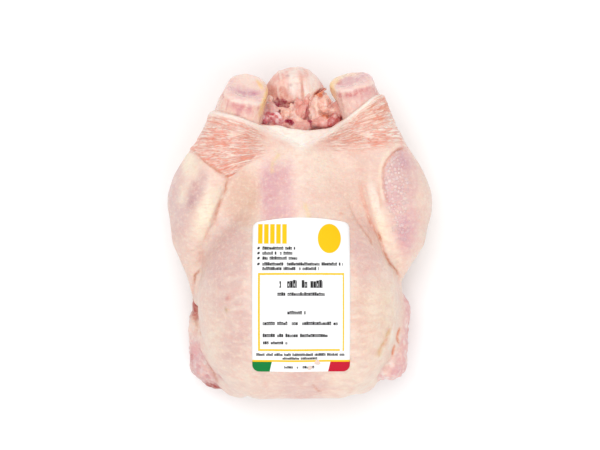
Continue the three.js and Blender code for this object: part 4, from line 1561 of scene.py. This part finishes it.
def follicle_tree(finish):
    """Low domes, spread evenly wherever the skin is marked with goosebumps, and as high as it is marked."""
    tree = bpy.data.node_groups.new("raised follicles", "GeometryNodeTree")
    sizes = follicle_sockets(tree)
    given = add(tree, "NodeGroupInput")
    pitch, width, rise, seed = (given.outputs[name] for name in ("Pitch", "Width", "Rise", "Seed"))
    named = add(tree, "GeometryNodeInputNamedAttribute", {"Name": "goosebumps"}, data_type="FLOAT")
    marked = named.outputs[0]
    enough = calculated(tree, "GREATER_THAN", marked, LEAST_RAISED)
    density = calculated(tree, "DIVIDE", CROWDING, pitch)
    spread = add(tree, "GeometryNodeDistributePointsOnFaces", {
        "Mesh": given.outputs["Geometry"], "Distance Min": pitch, "Seed": seed,
        "Density Max": calculated(tree, "MULTIPLY", density, density), "Density Factor": enough,
    }, distribute_method="POISSON")
    dome = add(tree, "GeometryNodeMeshUVSphere", {"Segments": 12, "Rings": 8, "Radius": 0.5})
    vary = add(tree, "FunctionNodeRandomValue", {"Seed": seed}, data_type="FLOAT")
    vary.inputs[2].default_value, vary.inputs[3].default_value = 0.55, 1.2
    across = calculated(tree, "MULTIPLY", width, vary.outputs[1])
    up = calculated(tree, "MULTIPLY", calculated(tree, "MULTIPLY", rise, 2.0), marked)
    size = add(tree, "ShaderNodeCombineXYZ", {0: across, 1: across, 2: up})
    place = add(tree, "GeometryNodeInstanceOnPoints", {
        "Points": spread.outputs["Points"], "Instance": dome.outputs["Mesh"],
        "Rotation": spread.outputs["Rotation"], "Scale": size.outputs[0],
    })
    real = add(tree, "GeometryNodeRealizeInstances", {0: place.outputs[0]})
    smooth = add(tree, "GeometryNodeSetShadeSmooth", {0: real.outputs[0]})
    finished = add(tree, "GeometryNodeSetMaterial", {"Geometry": smooth.outputs[0], "Material": finish})
    add(tree, "NodeGroupOutput", {0: finished.outputs[0]})
    return tree, sizes


def follicle_material():
    made, tree, shader = material("follicle_skin")
    place = add(tree, "ShaderNodeTexCoord").outputs["Object"]
    tint = attribute(tree, "tint").outputs["Color"]
    raised = attribute(tree, "goosebumps").outputs["Fac"]
    uneven = calculated(tree, "MULTIPLY_ADD", cloud(tree, place, 260, 2), 1.5, -0.42)
    lift = calculated(tree, "MULTIPLY", raised, uneven, clamp=True)
    tree.links.new(mixed(tree, tint, (*FOLLICLE_TIP, 1), lift), shader.inputs["Base Color"])
    shader.inputs["Roughness"].default_value = 0.4
    soft_flesh(shader)
    return made


def follicles(skin, finish):
    tree, sizes = follicle_tree(finish)
    thing = linked("follicles", skin.data.copy())
    grow = thing.modifiers.new("raised follicles", "NODES")
    grow.node_group = tree
    values = {"Pitch": FOLLICLE_PITCH, "Width": FOLLICLE_WIDTH, "Rise": FOLLICLE_RISE}
    values["Seed"] = FOLLICLE_SEED
    for name, value in values.items():
        grow[sizes[name]] = value
    return applied(thing)


# ------------------------------------------------------------------ the label
def skin_height(form, x, y):
    """How high the skin is under each point, found by going down from above it."""
    z = np.full(len(x), BIRD_BOX[1][2], np.float32)
    touching, stride, most_steps = 1e-3, 0.6, 60
    for _ in range(most_steps):
        here = form([x, y, z])
        down = z - np.maximum(here * stride, touching)
        z = np.where(here > touching, down, z).astype(np.float32)
    return z


def label_rows():
    """How far down from the label's head each row of its grid lies, and how far in from its sides it ends."""
    length = LABEL_TAIL - LABEL_NECK
    turns = np.linspace(0, math.pi / 2, CORNER_STEPS)
    head = [(LABEL_CORNER * (1 - math.cos(a)), LABEL_CORNER * (1 - math.sin(a))) for a in turns]
    straight = length - 2 * LABEL_CORNER
    middle = [(LABEL_CORNER + straight * n / LABEL_STEPS, 0) for n in range(1, LABEL_STEPS)]
    return head + middle + [(length - down, inset) for down, inset in reversed(head)]


def label_faces(rows, columns):
    """The squares of the upper side, the lower side and the edge between them, numbered row by row."""
    span = columns + 1
    r, c = np.meshgrid(np.arange(rows - 1), np.arange(columns), indexing="ij")
    start = (r * span + c).ravel()
    top = np.stack([start, start + span, start + span + 1, start + 1], 1)
    rim = np.concatenate([
        np.arange(rows - 1) * span,
        (rows - 1) * span + np.arange(columns),
        np.arange(rows - 1, 0, -1) * span + columns,
        np.arange(columns, 0, -1),
    ])
    after = np.roll(rim, -1)
    under = rows * span
    side = np.stack([rim + under, after + under, after, rim], 1)
    return np.concatenate([top, top[:, ::-1] + under, side])


def label(form):
    """A slip with rounded corners and an arched head, curved as the breast under it is."""
    rows = label_rows()
    down, inset = (np.repeat([row[n] for row in rows], LABEL_COLUMNS + 1) for n in range(2))
    across = np.tile(np.linspace(-1, 1, LABEL_COLUMNS + 1), len(rows))
    x = LABEL_X + across * (LABEL_WIDTH / 2 - inset)
    y = LABEL_TAIL - down + LABEL_RISE * (1 - across**2) * (1 - down / (LABEL_TAIL - LABEL_NECK))
    z = skin_height(form, x.astype(np.float32), y.astype(np.float32)) + LABEL_GAP
    points = np.concatenate([np.stack([x, y, z + LABEL_THICK], 1), np.stack([x, y, z], 1)])
    thing = mesh_object("label_slip", placed(points), label_faces(len(rows), LABEL_COLUMNS))
    place = thing.data.uv_layers.new(name="print")
    corners = np.zeros(len(thing.data.loops), np.int32)
    thing.data.loops.foreach_get("vertex_index", corners)
    flat = np.stack([x - LABEL_X + LABEL_WIDTH / 2, LABEL_TAIL - y], 1)
    place.data.foreach_set("uv", np.concatenate([flat, flat])[corners].astype(np.float32).ravel())
    return thing


# The print, in millimetres from the label's left side and down from its head. No row of it can be read.
YELLOW = (*rgb(253, 200, 15), 1)
GREEN = (*rgb(12, 128, 60), 1)
RED = (*rgb(200, 22, 50), 1)
INK = (*rgb(30, 28, 30), 1)
PAPER = (*rgb(250, 250, 250), 1)
PRINT_ROWS = (  # left, right, head, foot, width of one mark
    (7.2, 31, 17.9, 20.3, 1.25), (7.2, 29, 21.5, 23.9, 1.25), (7.2, 32.6, 25.1, 27.5, 1.25),
    (7.2, 65.5, 29.3, 31.7, 1.25), (7.2, 48, 32.6, 35.0, 1.25),
    (19.7, 32.2, 41.6, 47.7, 2.1), (35.6, 50.8, 41.6, 47.7, 2.1), (18.2, 52.3, 50.8, 53.4, 1.5),
    (25.2, 38.5, 64.1, 66.7, 1.5), (7.7, 61.7, 71.8, 74.4, 1.5), (7.7, 54.4, 80.5, 83.1, 1.5),
    (7.9, 27, 86.1, 88.3, 1.5), (2.8, 66.5, 94.7, 96.8, 1.0), (21.8, 47.8, 97.6, 99.4, 1.0),
    (23, 33, 104.1, 106.0, 1.4), (36, 45.6, 104.1, 106.0, 1.4),
)
PRINT_BARS = ((4.0, 8.4, 12.8, 17.2, 21.6), 3.3, 1.8, 16.0)  # the left side of each, width, head, foot
PRINT_OVAL = ((55.8, 12.2), (8.4, 10.6))  # centre and half sizes
PRINT_TICKS = ((18.3, 21.9, 25.5, 29.7), 4.0, 1.6, 1.7, 0.3)  # the head of each, left, width, height, lean
PRINT_FRAME = (4.3, 66.2, 37.0, 93.2, 1.4)  # left, right, head, foot, width of its lines
BAND_LINE, BAND_HEAD, BAND_SLANT = 99.8, 101.2, 0.23
GREEN_END, RED_START = 14.2, 56.5
OFF_LEFT, OFF_RIGHT, OFF_FOOT = -9, 120, 120  # somewhere past the slip's sides and its foot


class Print:
    """Shapes printed on the slip, each as a value that is 1 inside the shape and 0 outside."""

    def __init__(self, tree, where):
        axes = add(tree, "ShaderNodeSeparateXYZ", {0: where})
        self.tree, self.u, self.v = tree, axes.outputs[0], axes.outputs[1]
        self.sway = calculated(tree, "MULTIPLY_ADD", cloud(tree, where, 1.6, 2), 0.6, -0.3)

    def within(self, value, start, end):
        off = calculated(self.tree, "SUBTRACT", value, (start + end) / 2)
        return calculated(self.tree, "LESS_THAN", calculated(self.tree, "ABSOLUTE", off), (end - start) / 2)

    def both(self, a, b):
        return calculated(self.tree, "MULTIPLY", a, b)

    def box(self, left, right, head, foot, lean=0.0, rough=False):
        across = calculated(self.tree, "MULTIPLY_ADD", self.v, lean, self.u) if lean else self.u
        down = self.v
        if rough:
            across, down = (calculated(self.tree, "ADD", value, self.sway) for value in (across, down))
        return self.both(self.within(across, left, right), self.within(down, head, foot))

    def oval(self, centre, half):
        shares = [
            calculated(self.tree, "DIVIDE", calculated(self.tree, "SUBTRACT", value, middle), size)
            for value, middle, size in zip((self.u, self.v), centre, half)
        ]
        off = add(self.tree, "ShaderNodeCombineXYZ", dict(enumerate(shares))).outputs[0]
        far = add(self.tree, "ShaderNodeVectorMath", {0: off}, operation="LENGTH").outputs["Value"]
        return calculated(self.tree, "LESS_THAN", far, 1.0)

    def chance(self, value, seed):
        spot = add(self.tree, "ShaderNodeCombineXYZ", {0: value, 1: float(seed)}).outputs[0]
        return add(self.tree, "ShaderNodeTexWhiteNoise", {0: spot}, noise_dimensions="2D").outputs[0]

    def marks(self, left, right, head, foot, size, seed):
        """A row of print too small to read: upright strokes of uneven height, gathered into words."""
        tree, both = self.tree, self.both
        cell = calculated(tree, "FLOOR", calculated(tree, "DIVIDE", self.u, size))
        part = calculated(tree, "FRACT", calculated(tree, "DIVIDE", self.u, size))
        word = self.chance(cell, seed)
        inked = calculated(tree, "GREATER_THAN", word, 0.13)
        tall = calculated(tree, "MULTIPLY_ADD", self.chance(cell, seed + 0.5), 0.34, 0.66)
        up = calculated(tree, "DIVIDE", calculated(tree, "SUBTRACT", foot, self.v), foot - head)
        low = both(calculated(tree, "LESS_THAN", up, tall), calculated(tree, "GREATER_THAN", up, 0.0))
        holes = both(self.within(part, 0.36, 0.56), self.within(up, 0.18, 0.5))
        holes = both(holes, calculated(tree, "GREATER_THAN", word, 0.45))
        stroke = both(self.within(part, 0.02, 0.92), inked)
        stroke = both(stroke, both(low, calculated(tree, "SUBTRACT", 1.0, holes)))
        return both(stroke, self.box(left, right, head, foot))


def printed(tree, where):
    """The colour of the slip: bars and an oval at its head, rows of marks, a frame and a band at its foot."""
    page = Print(tree, where)
    colour = PAPER
    lefts, width, head, foot = PRINT_BARS
    for left in lefts:
        colour = mixed(tree, colour, YELLOW, page.box(left, left + width, head, foot))
    colour = mixed(tree, colour, YELLOW, page.oval(*PRINT_OVAL))
    for seed, row in enumerate(PRINT_ROWS):
        colour = mixed(tree, colour, INK, page.marks(*row, seed * 3 + 1))
    heads, left, width, height, lean = PRINT_TICKS
    for head in heads:
        start = left + lean * head
        colour = mixed(tree, colour, INK, page.box(start, start + width, head, head + height, lean=lean))
    left, right, head, foot, stroke = PRINT_FRAME
    for edge in ((left, left + stroke, head, foot), (right - 1.0, right, head, foot),
                 (left, right, head, head + stroke), (left, right - 3, foot - stroke, foot)):
        colour = mixed(tree, colour, YELLOW, page.box(*edge, rough=True))
    colour = mixed(tree, colour, YELLOW, page.box(OFF_LEFT, OFF_RIGHT, BAND_LINE, BAND_HEAD))
    foot_band, shift = (BAND_HEAD, OFF_FOOT, BAND_SLANT), BAND_HEAD * BAND_SLANT
    colour = mixed(tree, colour, GREEN, page.box(OFF_LEFT, GREEN_END + shift, *foot_band))
    return mixed(tree, colour, RED, page.box(RED_START + shift, OFF_RIGHT, *foot_band))


def label_material():
    made, tree, shader = material("label_paper")
    where = add(tree, "ShaderNodeUVMap", uv_map="print").outputs[0]
    fibre = cloud(tree, where, 3, 4)
    bump = add(tree, "ShaderNodeBump", {"Height": fibre, "Distance": 0.00004, "Strength": 0.5})
    tree.links.new(printed(tree, where), shader.inputs["Base Color"])
    tree.links.new(ranged(tree, fibre, 0.3, 0.7, 0.4, 0.48), shader.inputs["Roughness"])
    tree.links.new(bump.outputs[0], shader.inputs["Normal"])
    shader.inputs["Specular IOR Level"].default_value = 0.15
    return made


# ------------------------------------------------------------------ the setting
VIEW_MIDDLE = 3.75  # how far towards the tail the camera stands from the bird's own origin
CAMERA_HEIGHT, CAMERA_Y = 1.300, (VIEW_MIDDLE + FOOTPRINT) * MM
VIEW_WIDTH, LEG_HEIGHT = 0.450, 0.045  # how wide the view is, and at which height
TABLE_HALF, TABLE_WHITE = 3.0, (0.97, 0.97, 0.97, 1)
SKY_STRENGTH = 0.65
SUNS = {"key": ((-0.15, 0.3, 1.0), 40, 1.05), "fill": ((0.1, -0.6, 1.0), 60, 0.75)}  # way, spread, power


def linked(name, data):
    thing = bpy.data.objects.new(name, data)
    bpy.context.scene.collection.objects.link(thing)
    return thing


def table_top():
    mesh = bpy.data.meshes.new("table_top")
    corners = [(x * TABLE_HALF, y * TABLE_HALF, 0) for x, y in ((-1, -1), (1, -1), (1, 1), (-1, 1))]
    mesh.from_pydata(corners, [], [(0, 1, 2, 3)])
    made, _, shader = material("table_top")
    shader.inputs["Base Color"].default_value = TABLE_WHITE
    shader.inputs["Roughness"].default_value = 0.8
    mesh.materials.append(made)
    linked("table_top", mesh)


def soft_sun(name, source, spread, power):
    """A wide soft light from far off, on the side that source points to."""
    light = bpy.data.lights.new(name, "SUN")
    light.energy, light.angle = power, math.radians(spread)
    linked(name, light).rotation_euler = Vector(source).to_track_quat("Z", "Y").to_euler()


def studio():
    scene = bpy.context.scene
    world = bpy.data.worlds.new("studio")
    world.use_nodes = True
    sky = world.node_tree.nodes["Background"]
    sky.inputs["Color"].default_value = (1, 1, 1, 1)
    sky.inputs["Strength"].default_value = SKY_STRENGTH
    scene.world = world
    scene.view_settings.view_transform = "Standard"
    for name, sun in SUNS.items():
        soft_sun(name, *sun)


def camera():
    lens = bpy.data.cameras.new("camera")
    lens.lens = lens.sensor_width * (CAMERA_HEIGHT - LEG_HEIGHT) / VIEW_WIDTH
    thing = linked("camera", lens)
    thing.location = (0, CAMERA_Y, CAMERA_HEIGHT)
    bpy.context.scene.camera = thing


# ------------------------------------------------------------------ the finished bird
def finished(piece, slot, node=None):
    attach(piece, "root")
    if node:
        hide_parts(node)


shape = bird_form()
skin_look = skin_material()
skin = bird(shape)
skin.data.materials.append(skin_look)
finished(skin, "skin", "chicken")

for s, name in zip(SIDES, ("hock_left", "hock_right")):
    knob = bare_piece(name, hock_form(s), HOCK_BOX[s], MOST_ON_HOCK, hock_relief(s), hock_tints(s))
    knob.data.materials.append(skin_look)
    finished(knob, "skin")

flesh = bare_piece("vent_flesh", flesh_form(), FLESH_BOX, MOST_ON_FLESH, flesh_relief, flesh_tints)
flesh.data.materials.append(skin_look)
finished(flesh, "skin")

finished(follicles(skin, follicle_material()), "skin")

slip = label(shape)
slip.data.materials.append(label_material())
finished(slip, "label_paper", "label")

table_top()
studio()
camera()
